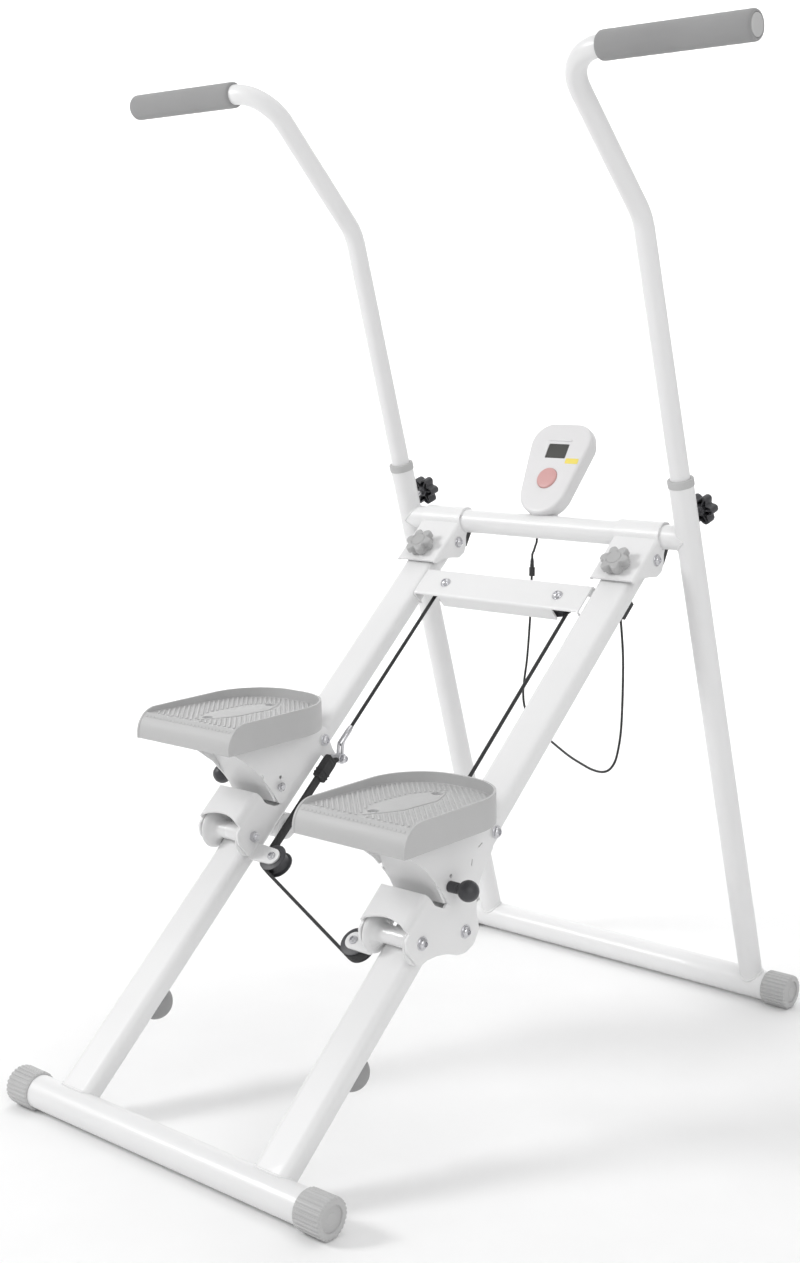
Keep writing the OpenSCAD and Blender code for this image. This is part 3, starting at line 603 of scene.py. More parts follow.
def screw_head(bm, m, r):
    lathe(bm, [(0, 0), (r, 0), (r, 0.0006), (r * 0.8, 0.0016), (r * 0.45, 0.0021), (0, 0.0022)], m, 28)
    for a in (0, 90):
        prism(bm, [(-r * 0.62, -r * 0.11), (r * 0.62, -r * 0.11), (r * 0.62, r * 0.11),
                   (-r * 0.62, r * 0.11)], 0.0019, 0.00235, m @ turn(a, "Z"))


def fillet(points, n=5):
    """Polygon with rounded corners from (x, y, radius) points."""
    out = []
    k = len(points)
    for i in range(k):
        p, a, b = Vector(points[i][:2]), Vector(points[i - 1][:2]), Vector(points[(i + 1) % k][:2])
        r = points[i][2] if len(points[i]) > 2 else 0
        if not r:
            out.append(tuple(p))
            continue
        u, v = (a - p).normalized(), (b - p).normalized()
        half = u.angle(v) / 2
        d = min(r / tan(half), (a - p).length * 0.49, (b - p).length * 0.49)
        r = d * tan(half)
        c = p + (u + v).normalized() * (r / sin(half))
        s, e = p + u * d - c, p + v * d - c
        sweep_angle = s.angle_signed(e)
        for j in range(n + 1):
            t = -sweep_angle * j / n
            out.append((c.x + s.x * cos(t) - s.y * sin(t), c.y + s.x * sin(t) + s.y * cos(t)))
    return out


def drill(x, y, z, r, reach=0.1):
    """Cutting cylinder along x through one point."""
    bm = solid(cylinder, r, -reach, reach, shift(x, y, z) @ ALONG_X, 32)
    return ("DIFFERENCE", bm)


BRACKET = fillet(mm([
    (12, -18.1), (14, -36, 20), (37, -53, 30), (52, -64, 40), (69, -77, 40), (88, -98, 40),
    (101, -115, 10), (109, -128, 5), (119, -129, 5), (136, -105, 16), (186, -76, 10), (203, -66, 10),
    (201, -49, 9), (178, -42, 8), (165, -18.1),
]))

for side in (-1, 1):
    tag = SIDE[side]
    bm = shell_master.copy()
    side_piece("pedal_shell", bm, m_pedal(side), side, PLASTIC, "pedal", ["pedal"], bevel=0.0007, sharp=32)
    bm = detail_master.copy()
    if side < 0:
        bmesh.ops.transform(bm, matrix=MIRROR, verts=bm.verts)
    side_piece("pedal_tread", bm, m_pedal(side), side, PLASTIC, "pedal", sharp=30)
    bm = bmesh.new()
    for y in SCREWS:
        screw_head(bm, shift(0, y, tread(y) - 0.0029), 0.0050)
    side_piece("pedal_screws", bm, m_pedal(side), side, ZINC, "pedal", sharp=30)

    plates = bmesh.new()
    for x0 in (-0.039, 0.0362):
        prism(plates, BRACKET, x0, x0 + 0.0028, SIDEWAYS)
    cuts = [drill(0, 0.1923, -0.0612, 0.00405), drill(0, *PIN, 0.0035),
            drill(0, 0.113, -0.0945, 0.0024)]
    for sx, y, z, r in ((-1, 0.080, -0.0885, 0.0036), (1, 0.104, -0.054, 0.0026)):
        hole = solid(cylinder, r, 0, 0.06, shift(0, y, z) @ turn(90 * sx, "Y"), 24)
        cuts.append(("DIFFERENCE", hole))
    for y0, z0, y1, z1 in ((150, -92, 151.5, -84), (163, -73, 170, -69.5)):
        d = (Vector((y1, z1)) - Vector((y0, z0))) / 1000
        w = Vector((-d.y, d.x)).normalized() * 0.0008
        p, q = Vector((y0, z0)) / 1000, Vector((y1, z1)) / 1000
        hole = solid(prism, [tuple(p - w), tuple(q - w), tuple(q + w), tuple(p + w)], 0.0, 0.06, SIDEWAYS)
        cuts.append(("DIFFERENCE", hole))
    bm = combine(plates, cuts)
    prism(bm, mm([(-38.9, 12.5), (38.9, 12.5), (38.9, 164.5), (-38.9, 164.5)]), -0.0209, -0.0181)
    prism(bm, mm([(43, -20), (46.4, -20), (106.6, -125), (103.2, -125)]), -0.0364, 0.0364, SIDEWAYS)
    to_pedal = m_pedal(side).inverted() @ m_carriage(side)
    for x0 in (-0.042, 0.0388):
        lathe(bm, mm([(4.1, 0), (7.5, 0), (7.5, 3.2), (4.1, 3.2), (4.1, 0)]),
              to_pedal @ shift(x0, *PIVOT) @ ALONG_X, 32)
    side_piece("pedal_bracket_sheet", bm, m_pedal(side), side, PAINT, "pedal", ["pedal_bracket"],
               bevel=0.0004, sharp=32)

    bm = bmesh.new()
    m = shift(0, *PIN) @ ALONG_X
    lathe(bm, mm([(0, -46), (3, -46), (3.45, -45.5), (3.45, 55), (0, 55)]), m, 28)
    side_piece("pin_rod", bm, m_pedal(side), side, ZINC, "pull_pin", sharp=30)
    bm = solid(lathe, mm([(0, 39.1), (6.2, 39.1), (6.6, 39.6), (6.6, 50.5), (6, 51.2), (6, 54), (7.2, 55)])
          + [(0.0125 * cos(radians(a)), 0.066 + 0.0125 * sin(radians(a))) for a in range(-54, 91, 9)][:-1]
          + [(0, 0.0785)], m, 40)
    side_piece("pin_knob", bm, m_pedal(side), side, DARK, "pull_pin", ["pull_pin"], sharp=30)
    bm = bmesh.new()
    clip = [m @ Vector((0.0052 * cos(radians(a)), 0.0052 * sin(radians(a)), -0.0435))
            for a in range(20, 341, 20)]
    sweep(bm, clip, 0.0008, 8)
    side_piece("pin_clip", bm, m_pedal(side), side, ZINC, "pull_pin", sharp=30)

# ---------- carriages ----------
SIDES = [
    (-12, 6, 8), (-12, 38, 14), (-4, 50, 6), (5, 50, 2), (5, 60.1), (53, 60.1, 3), (53, 46, 3),
    (52, 38, 16), (62, 16, 16), (82, 16, 16), (92, 38, 10), (118, 38, 20), (166, 36, 14), (188, 30, 14),
    (188, 6, 12), (172, 2, 8),
]
TAIL = [
    (-12, 8, 3), (2, 2, 10), (14, -8, 12), (26, -22, 16), (36, -40, 10), (46, -50, 10), (62, -56, 14),
    (80, -50, 12), (90, -32, 16), (104, -16, 20), (124, -7, 20), (158, 0, 10), (172, 8, 4), (120, 22),
    (20, 22),
]
LUG = [(158, 8), (160, -8, 4), (161, -24, 8), (175, -24, 8), (177, -8, 4), (182, 8)]


def u_sheet(half, low, top, bend, thick, y0, y1, n=8):
    """Folded sheet: two sides and a web, bent with a radius, running along y."""

    def line(w, h, r):
        corner = arc(w - r, h - r, r, 0, 90, n)
        return [(-w, low)] + [(-x, z) for x, z in corner] + corner[::-1] + [(w, low)]

    outer = line(half, top, bend)
    inner = line(half - thick, top - thick, bend - thick)
    bm = bmesh.new()
    loops = []
    for y in (y0, y1):
        loops.append([bm.verts.new((x, y, z)) for x, z in outer]
                     + [bm.verts.new((x, y, z)) for x, z in inner[::-1]])
    bm.faces.new(loops[0][::-1])
    bm.faces.new(loops[1])
    skin(bm, loops)
    return bm


def half_box(x0, x1, outlines):
    """Union of yz prisms between two x values."""
    base = solid(prism, fillet(mm(outlines[0])), x0, x1, SIDEWAYS)
    rest = []
    for o in outlines[1:]:
        bm = solid(prism, fillet(mm(o)), x0, x1, SIDEWAYS)
        rest.append(("UNION", bm))
    return combine(base, rest)


def carriage_sheet():
    stencil = combine(half_box(0.0, 0.06, [SIDES, TAIL]), [("UNION", half_box(-0.06, 0.00001, [SIDES, LUG]))])
    sheet = u_sheet(0.036, -0.08, 0.060, 0.009, 0.003, -0.03, 0.2)
    front = solid(cylinder, 0.060, 0.0505, 0.08, shift(0, -0.046, 0), 96)
    holes = [drill(0, *at, 0.00405) for at in (PIVOT, FRONT_AXLE, REAR_AXLE)] + [drill(0, *CABLE_PIN,
                                                                                       0.00305)]
    bm = combine(sheet, [("INTERSECT", stencil), ("DIFFERENCE", front)] + holes)
    outline = ([(-0.0335, 0.008), (-0.0335, -0.012), (-0.036, -0.014)]
               + arc(DRUM_X, DRUM_Y, 0.011, 270, 90, 14) + [(-0.036, 0.010)])
    tab = solid(prism, outline, 0.008, 0.0105)
    bolt = solid(cylinder, 0.00305, 0, 0.02, shift(DRUM_X, DRUM_Y, 0), 24)
    return combine(bm, [("UNION", tab), ("DIFFERENCE", bolt)])


carriage_master = carriage_sheet()
for side in (-1, 1):
    tag = SIDE[side]
    side_piece("carriage_sheet", carriage_master.copy(), m_carriage(side), side, PAINT, "carriage",
               ["carriage"], bevel=0.0004, sharp=30)
    bm = bmesh.new()
    profile = mm([(4.06, -32.5), (24, -32.5), (25.4, -31.9), (26, -30.8), (25.8, -29.8), (24.6, -28.4),
                  (22.5, -27.2), (19.2, -26.2), (16.8, -25.2), (14.6, -23.8), (13, -22), (11.9, -20),
                  (11.2, -17.2), (10.95, -14)])
    lathe(bm, profile + [(r, -z) for r, z in profile[::-1]] + [profile[0]], shift(0, *FRONT_AXLE) @ ALONG_X,
          72)
    side_piece("front_roller_body", bm, m_carriage(side), side, ROLLER, "front_roller", ["front_roller"],
               sharp=40)
    bm = bmesh.new()
    profile = mm([(4.06, -24), (9.6, -24), (10, -23.6), (10, -20.2), (16, -20), (17, -19.6), (17.4, -18.6),
                  (17.4, 22.6), (17, 23.6), (16, 24), (10, 24.2), (10, 32.5), (9.6, 32.9), (4.06, 32.9)])
    lathe(bm, profile + [profile[0]], shift(0, *REAR_AXLE) @ ALONG_X, 56)
    side_piece("rear_roller_body", bm, m_carriage(side), side, ROLLER, "rear_roller", ["rear_roller"],
               sharp=40)
    bm = bmesh.new()
    profile = mm([(3.1, -9), (17.5, -9), (18.5, -8.4), (18.5, -7.6), (17.8, -7), (15.3, -6.4), (15, -5.8),
                  (15, 5.8), (15.3, 6.4), (17.8, 7), (18.5, 7.6), (18.5, 8.4), (17.5, 8.9), (3.1, 8.9)])
    lathe(bm, profile + [profile[0]], shift(DRUM_X, DRUM_Y, -0.001), 56)
    side_piece("drum_body", bm, m_carriage(side), side, DARK, "drum", ["drum"], sharp=40)

# ---------- cables, bands and their ends ----------


def run_of(side, s, x=0.052, h=0.0):
    """Point of the cable line of one side, in the row frame."""
    return Matrix.Scale(side, 4, (1, 0, 0)) @ M_RAIL @ Vector((-x, s, h))


def strip(bm, points, normals, wide, thick, across):
    """Flat band along points; across is its width direction, normals its thickness direction."""
    rings = []
    c = thick * 0.3
    section = [(-wide + c, -thick), (wide - c, -thick), (wide, -thick + c), (wide, thick - c),
               (wide - c, thick), (-wide + c, thick), (-wide, thick - c), (-wide, -thick + c)]
    for p, nrm in zip(points, normals):
        rings.append([bm.verts.new(p + across * a + nrm * b) for a, b in section])
    skin(bm, rings)
    bm.faces.new(rings[0][::-1])
    bm.faces.new(rings[-1])


out_of_slope = (M_SLOPE.to_3x3() @ Vector((0, 0, 1))).normalized()
for side in (-1, 1):
    tag = SIDE[side]
    start, end = PLACE[side] + 0.190, BEAM_S
    points = [run_of(side, start + (end - start) * k / 12) for k in range(13)]
    bm = solid(sweep, points, CABLE_R, 16)
    line = finish_mesh("cable_line_" + tag, bm, Matrix(), 1, CABLE, None, ["cable_" + tag])
    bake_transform(line)

    # steel swage, hook and pin that join cable and band to the carriage
    bm = bmesh.new()
    m = shift(-0.052, 0.180, 0) @ turn(-90)
    lathe(bm, mm([(2.2, 0), (3.6, 0), (4, 0.8), (4, 24), (3.3, 28.5), (2.9, 30), (2.2, 30), (2.2, 0)]), m, 28)
    hook = smooth_path(mm([(-55.5, 184, 0), (-55.5, 178, -4), (-55.5, 172.5, -9), (-55.5, 168, -14)]), 5)
    hook2 = [Vector((-0.104 - p.x, p.y, p.z)) for p in hook]
    for path in (hook, hook2):
        sweep(bm, path, 0.0022, 10)
    lathe(bm, mm([(3.05, -5.2), (6.6, -5.2), (7, -4.8), (7, 4.8), (6.6, 5.2), (3.05, 5.2), (3.05, -5.2)]),
          shift(-0.052, *CABLE_PIN) @ ALONG_X, 32)
    side_piece("cable_swage", bm, m_carriage(side), side, ZINC, "carriage", ["cable_end"], sharp=30)

    # band: buckle block, straight piece, and its turn round the drum
    bm = bmesh.new()
    cx, cy, r = DRUM_X, DRUM_Y, BAND_R
    sweep_end = {1: 111.6, -1: 68.0}[side]
    pts = [Vector((cx + r, y, -0.001)) for y in (0.146, 0.12, 0.09, 0.06, 0.03, 0.012)]
    nrm = [Vector((1, 0, 0))] * 6
    for k in range(0, 25):
        a = radians(-sweep_end * k / 24)
        pts.append(Vector((cx + r * cos(a), cy + r * sin(a), -0.001)))
        nrm.append(Vector((cos(a), sin(a), 0)))
    strip(bm, pts, nrm, 0.0060, 0.0019, Vector((0, 0, 1)))
    block = fillet(mm([(-57.5, 124, 2), (-46.5, 124, 2), (-46.2, 150, 3), (-47.5, 158, 2), (-56.5, 158, 2),
                       (-57.8, 150, 3)]), 4)
    prism(bm, block, -0.0088, 0.0068)
    for y in (0.129, 0.134):
        prism(bm, [(-0.0583, y), (-0.0457, y), (-0.0457, y + 0.002), (-0.0583, y + 0.002)], -0.0094, 0.0074)
    sweep(bm, [Vector((-0.052, 0.155, -0.004)), Vector((-0.052, 0.162, -0.010)),
               Vector((-0.052, 0.1665, -0.0135))], 0.0034, 12)
    side_piece("band_run", bm, m_carriage(side), side, BAND, "carriage", ["band"], sharp=45)

half = RAIL_X + DRUM_X
rise = PLACE[-1] - PLACE[1]
lean = asin(rise / hypot(rise, 2 * half))
middle = M_SLOPE @ Vector((0, (PLACE[-1] + PLACE[1]) / 2 - 0.003, -0.001))
along = (M_SLOPE.to_3x3() @ Vector((cos(lean), -sin(lean), 0))).normalized()
below = (M_SLOPE.to_3x3() @ Vector((-sin(lean), -cos(lean), 0))).normalized()
span = half / cos(lean)


# each half is cut into short lengths between the SHARES fractions of its run
SHARES = (0, 0.06, 0.25, 0.5, 0.75, 0.94, 1)
for side in (-1, 1):
    tag = SIDE[side]
    drum_end, centre = middle + along * (side * span) + below * BAND_R, middle + below * BAND_R
    for part, (t0, t1) in enumerate(zip(SHARES, SHARES[1:]), 1):
        bm = bmesh.new()
        pts = [drum_end.lerp(centre, t0 + (t1 - t0) * k / 4) for k in range(5)]
        strip(bm, pts, [below] * 5, 0.0060, 0.0019, out_of_slope)
        stands_for = ["band_cross_" + tag] if part == 1 else []
        cross = finish_mesh(f"band_cross_{tag}_part_{part}", bm, Matrix(), 1, BAND, None, stands_for,
                            sharp=45)
        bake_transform(cross)

# ---------- crossbeam, bumpers, pulleys ----------
beam = u_sheet(0.023, -0.0085, 0.0135, 0.0045, 0.0025, -0.13695, 0.13695)
bmesh.ops.transform(beam, matrix=shift(0, BEAM_S, 0) @ turn(90, "Z"), verts=beam.verts)
cuts = []
for sx in (-1, 1):
    bm = solid(prism, fillet([(sx * 0.115 - 0.020, 0.800, 0), (sx * 0.115 + 0.020, 0.800, 0),
                      (sx * 0.115 + 0.020, 0.8085, 0.0), (sx * 0.115 - 0.020, 0.8085, 0)]), -0.02, 0.0112)
    cuts.append(("DIFFERENCE", bm))
    bm = solid(cylinder, 0.0041, 0, 0.03, shift(sx * PULLEY_X, BEAM_S, 0), 28)
    cuts.append(("DIFFERENCE", bm))
finish_mesh("crossbeam_sheet", combine(beam, cuts), M_SLOPE, 1, PAINT, "ladder", ["crossbeam"], bevel=0.0004,
            sharp=32)

bm = bmesh.new()
for side in (-1, 1):
    m = M_SLOPE @ shift(side * RAIL_X, 0, 0) @ shift(0, 0.158, -0.0135) @ turn(180)
    dome = [(0.0196, 0.0), (0.0202, 0.0012)] + [(0.0220 * cos(radians(a)),
                                                 0.008 + 0.0220 * sin(radians(a))) for a in range(-12, 90, 6)]
    lathe(bm, [(0, 0)] + dome + [(0, 0.0300)], m, 56)
finish_mesh("rubber_stops", bm, Matrix(), 1, GREY_RUBBER, "ladder", ["bumpers"], sharp=40)

for side in (-1, 1):
    tag = SIDE[side]
    bm = bmesh.new()
    profile = mm([(4.1, -7), (19.2, -7), (19.8, -6.4), (19.8, -5.2)]) + [
        (0.0200 - 0.0052 * cos(radians(a)), 0.0044 * sin(radians(a)))
        for a in range(-80, 81, 16)] + mm([(19.8, 5.2), (19.8, 6.4), (19.2, 7), (4.1, 7)])
    lathe(bm, profile + [profile[0]], M_SLOPE @ shift(side * PULLEY_X, BEAM_S, 0), 56)
    finish_mesh("cable_pulley_wheel_" + tag, bm, Matrix(), 1, DARK, "cable_pulley_" + tag,
                ["cable_pulley_" + tag], sharp=40)
bm = bmesh.new()
r = 0.0176
path = [Vector((-PULLEY_X - r * cos(radians(a)), BEAM_S + r * sin(radians(a)), 0)) for a in range(0, 90, 9)]
path += [Vector((x / 1000, BEAM_S + r, 0)) for x in range(-90, 91, 12)]
path += [Vector((PULLEY_X + r * sin(radians(a)), BEAM_S + r * cos(radians(a)), 0)) for a in range(0, 91, 9)]
sweep(bm, [M_SLOPE @ p for p in path], CABLE_R, 14)
finish_mesh("cable_over_pulleys", bm, Matrix(), 1, CABLE, "ladder", ["cable_top"])

# ---------- floor tube caps ----------


def ribbed_cap(bm, m, n=26):
    """Cap round a tube end: outer face at local z = 0, sleeve towards negative z."""
    steps = 8
    rings = []
    wide = []
    for k in range(n):
        a0 = 2 * pi * k / n
        for j in range(steps):
            u = j / steps
            crown = 1.0 if 0.12 < u < 0.62 else (0.55 if 0.06 < u < 0.70 else 0.0)
            wide.append((a0 + 2 * pi / n * u, crown))
    for z, base, crest in ((-0.038, 0.0213, 0.0), (-0.0372, 0.0218, 0.2), (-0.036, 0.0218, 1.0),
                           (-0.004, 0.0220, 1.0), (-0.0012, 0.0214, 0.9), (0.0, 0.0200, 0.25)):
        rings.append([bm.verts.new(m @ Vector(((base + 0.0012 * c * crest) * cos(a),
                                               (base + 0.0012 * c * crest) * sin(a), z))) for a, c in wide])

    def ring(r, z):
        return [bm.verts.new(m @ Vector((r * cos(a), r * sin(a), z))) for a, c in wide]
    rings += [ring(0.0158, 0.0002), ring(0.0148, -0.0004), ring(0.0145, -0.0022), ring(0.0142, -0.0024),
              ring(0.0070, -0.0024), ring(0.0064, -0.0020), ring(0.0030, -0.0019)]
    rings.insert(0, ring(0.0201, -0.038))
    rings.insert(0, ring(0.02005, -0.006))
    skin(bm, rings)
    bm.faces.new(rings[-1])
    bm.faces.new(rings[0][::-1])


for name, node, body, half_len, y in (("front_cap_pair", "front_caps", "ladder", 0.260, FRONT_Y),
                                      ("rear_cap_pair", "rear_caps", "rear_frame", 0.294, REAR_Y)):
    bm = bmesh.new()
    for side in (-1, 1):
        ribbed_cap(bm, shift(side * half_len, y, FLOOR_Z) @ turn(90 * side, "Y"))
        outline = fillet(mm([(-9, -22.9, 1), (9, -22.9, 1), (11, -15), (-11, -15)]), 3)
        prism(bm, outline, side * (half_len - 0.036), side * (half_len - 0.002),
              shift(0, y, FLOOR_Z) @ SIDEWAYS)
    finish_mesh(name, bm, Matrix(), 1, PLASTIC, body, [node], sharp=28)

# ---------- hinge brackets ----------
CROSS = M_RAIL.inverted() @ Vector((RAIL_X, BAR_Y, BAR_Z))


def hinge_sheet():
    cs, ch = CROSS.y, CROSS.z
    flange = fillet(mm([(857, 30), (857, 15, 4), (872, 8, 8), (886, -4, 10), (897, -16, 8), (910, -19.5, 8),
                        (920, -14, 6), (928, -5, 10), (944, 2), (958, 30)]))
    block = solid(prism, flange, -0.035, 0.035, SIDEWAYS)
    top = u_sheet(0.034, -0.03, 0.0209, 0.005, 0.0028, 0.84, 0.97)
    wrap = solid(cylinder, 0.0192, -0.034, 0.034, shift(0, cs, ch) @ ALONG_X, 64)
    keep = solid(prism, mm([(924, 12), (924, 60), (962, 60), (962, 14), (944, 9)]), -0.1, 0.1, SIDEWAYS)
    wrap = combine(wrap, [("INTERSECT", keep)])
    bore = solid(cylinder, 0.01605, -0.05, 0.05, shift(0, cs, ch) @ ALONG_X, 64)
    back = solid(prism, mm([(948, -40), (948, 9), (962, 12), (962, -40)]), -0.1, 0.1, SIDEWAYS)
    screw = solid(cylinder, 0.0041, 0, 0.05, shift(0, KNOB_S, 0), 28)
    return combine(top, [("INTERSECT", block), ("UNION", wrap), ("DIFFERENCE", bore), ("DIFFERENCE", back),
                         ("DIFFERENCE", screw), drill(0, *HINGE, 0.00405)])


master = hinge_sheet()
bm = master.copy()
bmesh.ops.transform(bm, matrix=M_RAIL, verts=bm.verts)
other = bm.copy()
bmesh.ops.transform(other, matrix=MIRROR, verts=other.verts)
me = bpy.data.meshes.new("pair")
other.to_mesh(me)
bm.from_mesh(me)
finish_mesh("hinge_bracket_pair", bm, Matrix(), 1, PAINT, "rear_frame", ["hinge_brackets"], bevel=0.0004,
            sharp=32)

# ---------- tubes of the handlebars, grips and bushes ----------


def bent_path():
    """Handlebar centre line in the upright frame, foot to grip end."""
    r1, r2 = 0.070, 0.052
    t1 = r1 * tan(radians(BEND / 2))
    pts = [Vector((0, 0, z)) for z in (0.603, 0.70, 0.80, 0.90, 1.0)]
    pts += [Vector((0, -r1 + r1 * cos(radians(a)), BEND_UP - t1 + r1 * sin(radians(a))))
            for a in [BEND * k / 10 for k in range(11)]]
    m = shift(0, 0, BEND_UP) @ turn(BEND)
    pts += [m @ Vector((0, 0, GRIP_UP - r2 - d)) for d in (0.08, 0.04)]
    pts += [m @ Vector((r2 - r2 * cos(radians(a)), 0, GRIP_UP - r2 + r2 * sin(radians(a))))
            for a in range(0, 91, 6)]
    pts += [m @ Vector((x, 0, GRIP_UP)) for x in (0.08, 0.14, 0.20, 0.2394)]
    return pts


for side in (-1, 1):
    tag = SIDE[side]
    body = "handle_" + tag
    bm = solid(sweep, bent_path(), 0.0127, 40)
    finish_mesh("handlebar_tube_" + tag, bm, M_UP, side, PAINT, body, ["handlebar_" + tag], sharp=50)

    bm = bmesh.new()
    x0, x1, r = 0.053, 0.243, 0.0165
    profile = [(0.0128, x0), (r - 0.0026, x0), (r - 0.0012, x0 + 0.0006), (r - 0.0003, x0 + 0.0020),
               (r, x0 + 0.0045)]
    n = 24
    for k in range(1, n):
        x = x0 + 0.0045 + (x1 - x0 - 0.009) * k / n
        profile.append((r + 0.0001 * sin(k * 2.4), x))
    profile += [(r, x1 - 0.0045), (r - 0.0003, x1 - 0.0020), (r - 0.0012, x1 - 0.0006), (r - 0.0026, x1),
                (0.0128, x1)]
    lathe(bm, profile + [profile[0]], ALONG_X, 56)
    grip = finish_mesh("foam_sleeve_" + tag, bm, M_GRIP, side, FOAM, body, ["grip_" + tag], sharp=60)
    bm = solid(lathe, mm([(0, 225.5), (11, 225.5), (11, 240), (12.4, 240.2), (12.7, 241.2), (12.2, 243.2),
                          (10.8, 244), (6, 244.3), (0, 244.3)]), ALONG_X, 40)
    finish_mesh("end_plug_" + tag, bm, M_GRIP, side, PLASTIC, body, ["grip_plug_" + tag], sharp=40)

bm = bmesh.new()
for side in (-1, 1):
    m = Matrix.Scale(side, 4, (1, 0, 0)) @ M_UP @ shift(0, 0, 0.743)
    profile = mm([(12.75, -30), (14.25, -30), (14.25, 0), (16.5, 0.1), (17, 0.6), (17, 8.8), (16.5, 9.8),
                  (15.2, 10.1), (13.2, 10.1), (12.75, 9.4)])
    lathe(bm, profile + [profile[0]], m, 48)
finish_mesh("upright_bushes", bm, Matrix(), 1, PLASTIC, "rear_frame", ["sleeve_bushes"], sharp=40)

# ---------- star knobs ----------


def star_loop(r, dip, lobes=6, n=96):
    """Lobed outline: radius r on the lobes, r - dip between them."""
    out = []
    for k in range(n):
        a = 2 * pi * k / n
        c = 0.5 + 0.5 * cos(lobes * a)
        out.append(((r - dip * (1 - c) ** 1.6) * cos(a), (r - dip * (1 - c) ** 1.6) * sin(a)))
    return out


def stars(layers):
    """Lobed layers from (radius, dip, height) in millimetres."""
    return [(star_loop(r, dip), z) for r, dip, z in mm(layers)]


def loft(bm, layers, m):
    """Closed solid through (outline, height) layers."""
    rings = [[bm.verts.new(m @ Vector((x, y, z))) for x, y in loop] for loop, z in layers]
    skin(bm, rings)
    bm.faces.new(rings[0][::-1])
    bm.faces.new(rings[-1])


for side in (-1, 1):
    tag = SIDE[side]
    bm = bmesh.new()
    m = shift(0, KNOB_S, 0.01355)
    lathe(bm, mm([(0, 0), (3.8, 0), (4, 0.4), (4, 12.5), (0, 12.5)]), m, 24)
    loft(bm, stars([(16.8, 3.4, 8), (17.6, 3.6, 8.6), (17.6, 3.6, 12.8), (16.8, 3.4, 13.6)]), m)
    loft(bm, stars([(19.2, 6.2, 13.6), (20.8, 6.8, 14.8), (21, 6.8, 17), (21, 6.8, 20.5), (20.4, 6.6, 22.5),
                    (18.8, 6, 23.6), (12.5, 2.6, 23.8), (11, 0, 23.2), (10, 0, 23.1), (9.3, 0, 23.9)]), m)
    side_piece("rail_knob_star", bm, M_RAIL, side, KNOB_GREY, "rail_knob", ["rail_knob"], sharp=38)

    bm = bmesh.new()
    m = shift(0, 0.01275, 0.698) @ turn(-90)
    lathe(bm, mm([(0, 0), (3.8, 0), (4, 0.4), (4, 32), (0, 32)]), m, 24)
    side_piece("upright_knob_screw", bm, M_UP, side, ZINC, "upright_knob", sharp=30)
    bm = bmesh.new()
    loft(bm, stars([(17.5, 5.6, 31.2), (17.8, 5.6, 18.2), (18.4, 5.8, 18), (19.9, 6.2, 18), (20.4, 6.4, 18.6),
                    (20.5, 6.6, 31), (19.8, 6.4, 33), (18, 5.8, 33.9), (10, 1, 34.1)]), m)
    lathe(bm, mm([(4, 18.5), (6.8, 18.5), (7, 19), (7, 31.3), (4, 31.3), (4, 18.5)]), m, 32)
    for k in range(6):
        prism(bm, mm([(6.6, -0.7), (17.2, -0.7), (17.2, 0.7), (6.6, 0.7)]), 0.0195, 0.0313,
              m @ turn(60 * k, "Z"))
    side_piece("upright_knob_star", bm, M_UP, side, DARK, "upright_knob", ["upright_knob"], sharp=38)

# ---------- console ----------
CORNER_R, FOOT_R, TALL, WIDE = 0.030, 0.038, 0.138, 0.098
WINDOW_Y, BUTTON_Y, CONSOLE_LEAN = 0.092, 0.050, 32


def console_outline(inset, n=24):
    """Two round corners at the top and one broad round foot, pulled in by inset."""
    side_x, top = WIDE / 2 - CORNER_R, TALL - CORNER_R
    reach = hypot(side_x, top - FOOT_R)
    aim = degrees(atan2(top - FOOT_R, side_x) - acos((FOOT_R - CORNER_R) / reach))
    r1, r2 = CORNER_R - inset, FOOT_R - inset
    return (arc(side_x, top, r1, aim, 90, n) + arc(-side_x, top, r1, 90, 180 - aim, n)
            + arc(0, FOOT_R, r2, 180 - aim, 360 + aim, 2 * n))


def plate(x0, x1, y0, y1, r):
    return fillet([(x0, y0, r), (x1, y0, r), (x1, y1, r), (x0, y1, r)], 4)


def console_shell():
    bm = bmesh.new()
    layers = mm([(11.5, -16.2), (8.5, -16), (6.2, -14.8), (5, -12), (4, -6), (1.5, -4.2), (0.4, -3.6),
                 (0, -2.5), (0, 8), (0.3, 9.4), (1, 10.6), (2.1, 11.5), (3.5, 11.9), (6, 12.1)])
    loft(bm, [(console_outline(i), z) for i, z in layers], shift(0, -0.003, 0))
    neck = solid(prism, fillet(mm([(-15, -6, 3), (15, -6, 3), (14, 34, 4), (-14, 34, 4)]), 4), -0.0205,
                 -0.003)
    tools = [("UNION", neck)]
    lcd = solid(prism, plate(-0.017, 0.017, WINDOW_Y - 0.011, WINDOW_Y + 0.011, 0.0015), 0.0090, 0.03)
    tools.append(("DIFFERENCE", lcd))
    well = solid(lathe, mm([(0, 4), (15.5, 4), (15.5, 11.2), (16.5, 14.5), (0, 14.5)]), shift(0, BUTTON_Y, 0),
                 64)
    tools.append(("DIFFERENCE", well))
    bar = solid(lathe, mm([(0, -100), (16.05, -100), (16.05, 100), (0, 100)]),
                shift(0, -0.016 * cos(radians(CONSOLE_LEAN)), -0.016 * sin(radians(CONSOLE_LEAN))) @ ALONG_X,
                64)
    tools.append(("DIFFERENCE", bar))
    return combine(bm, tools)


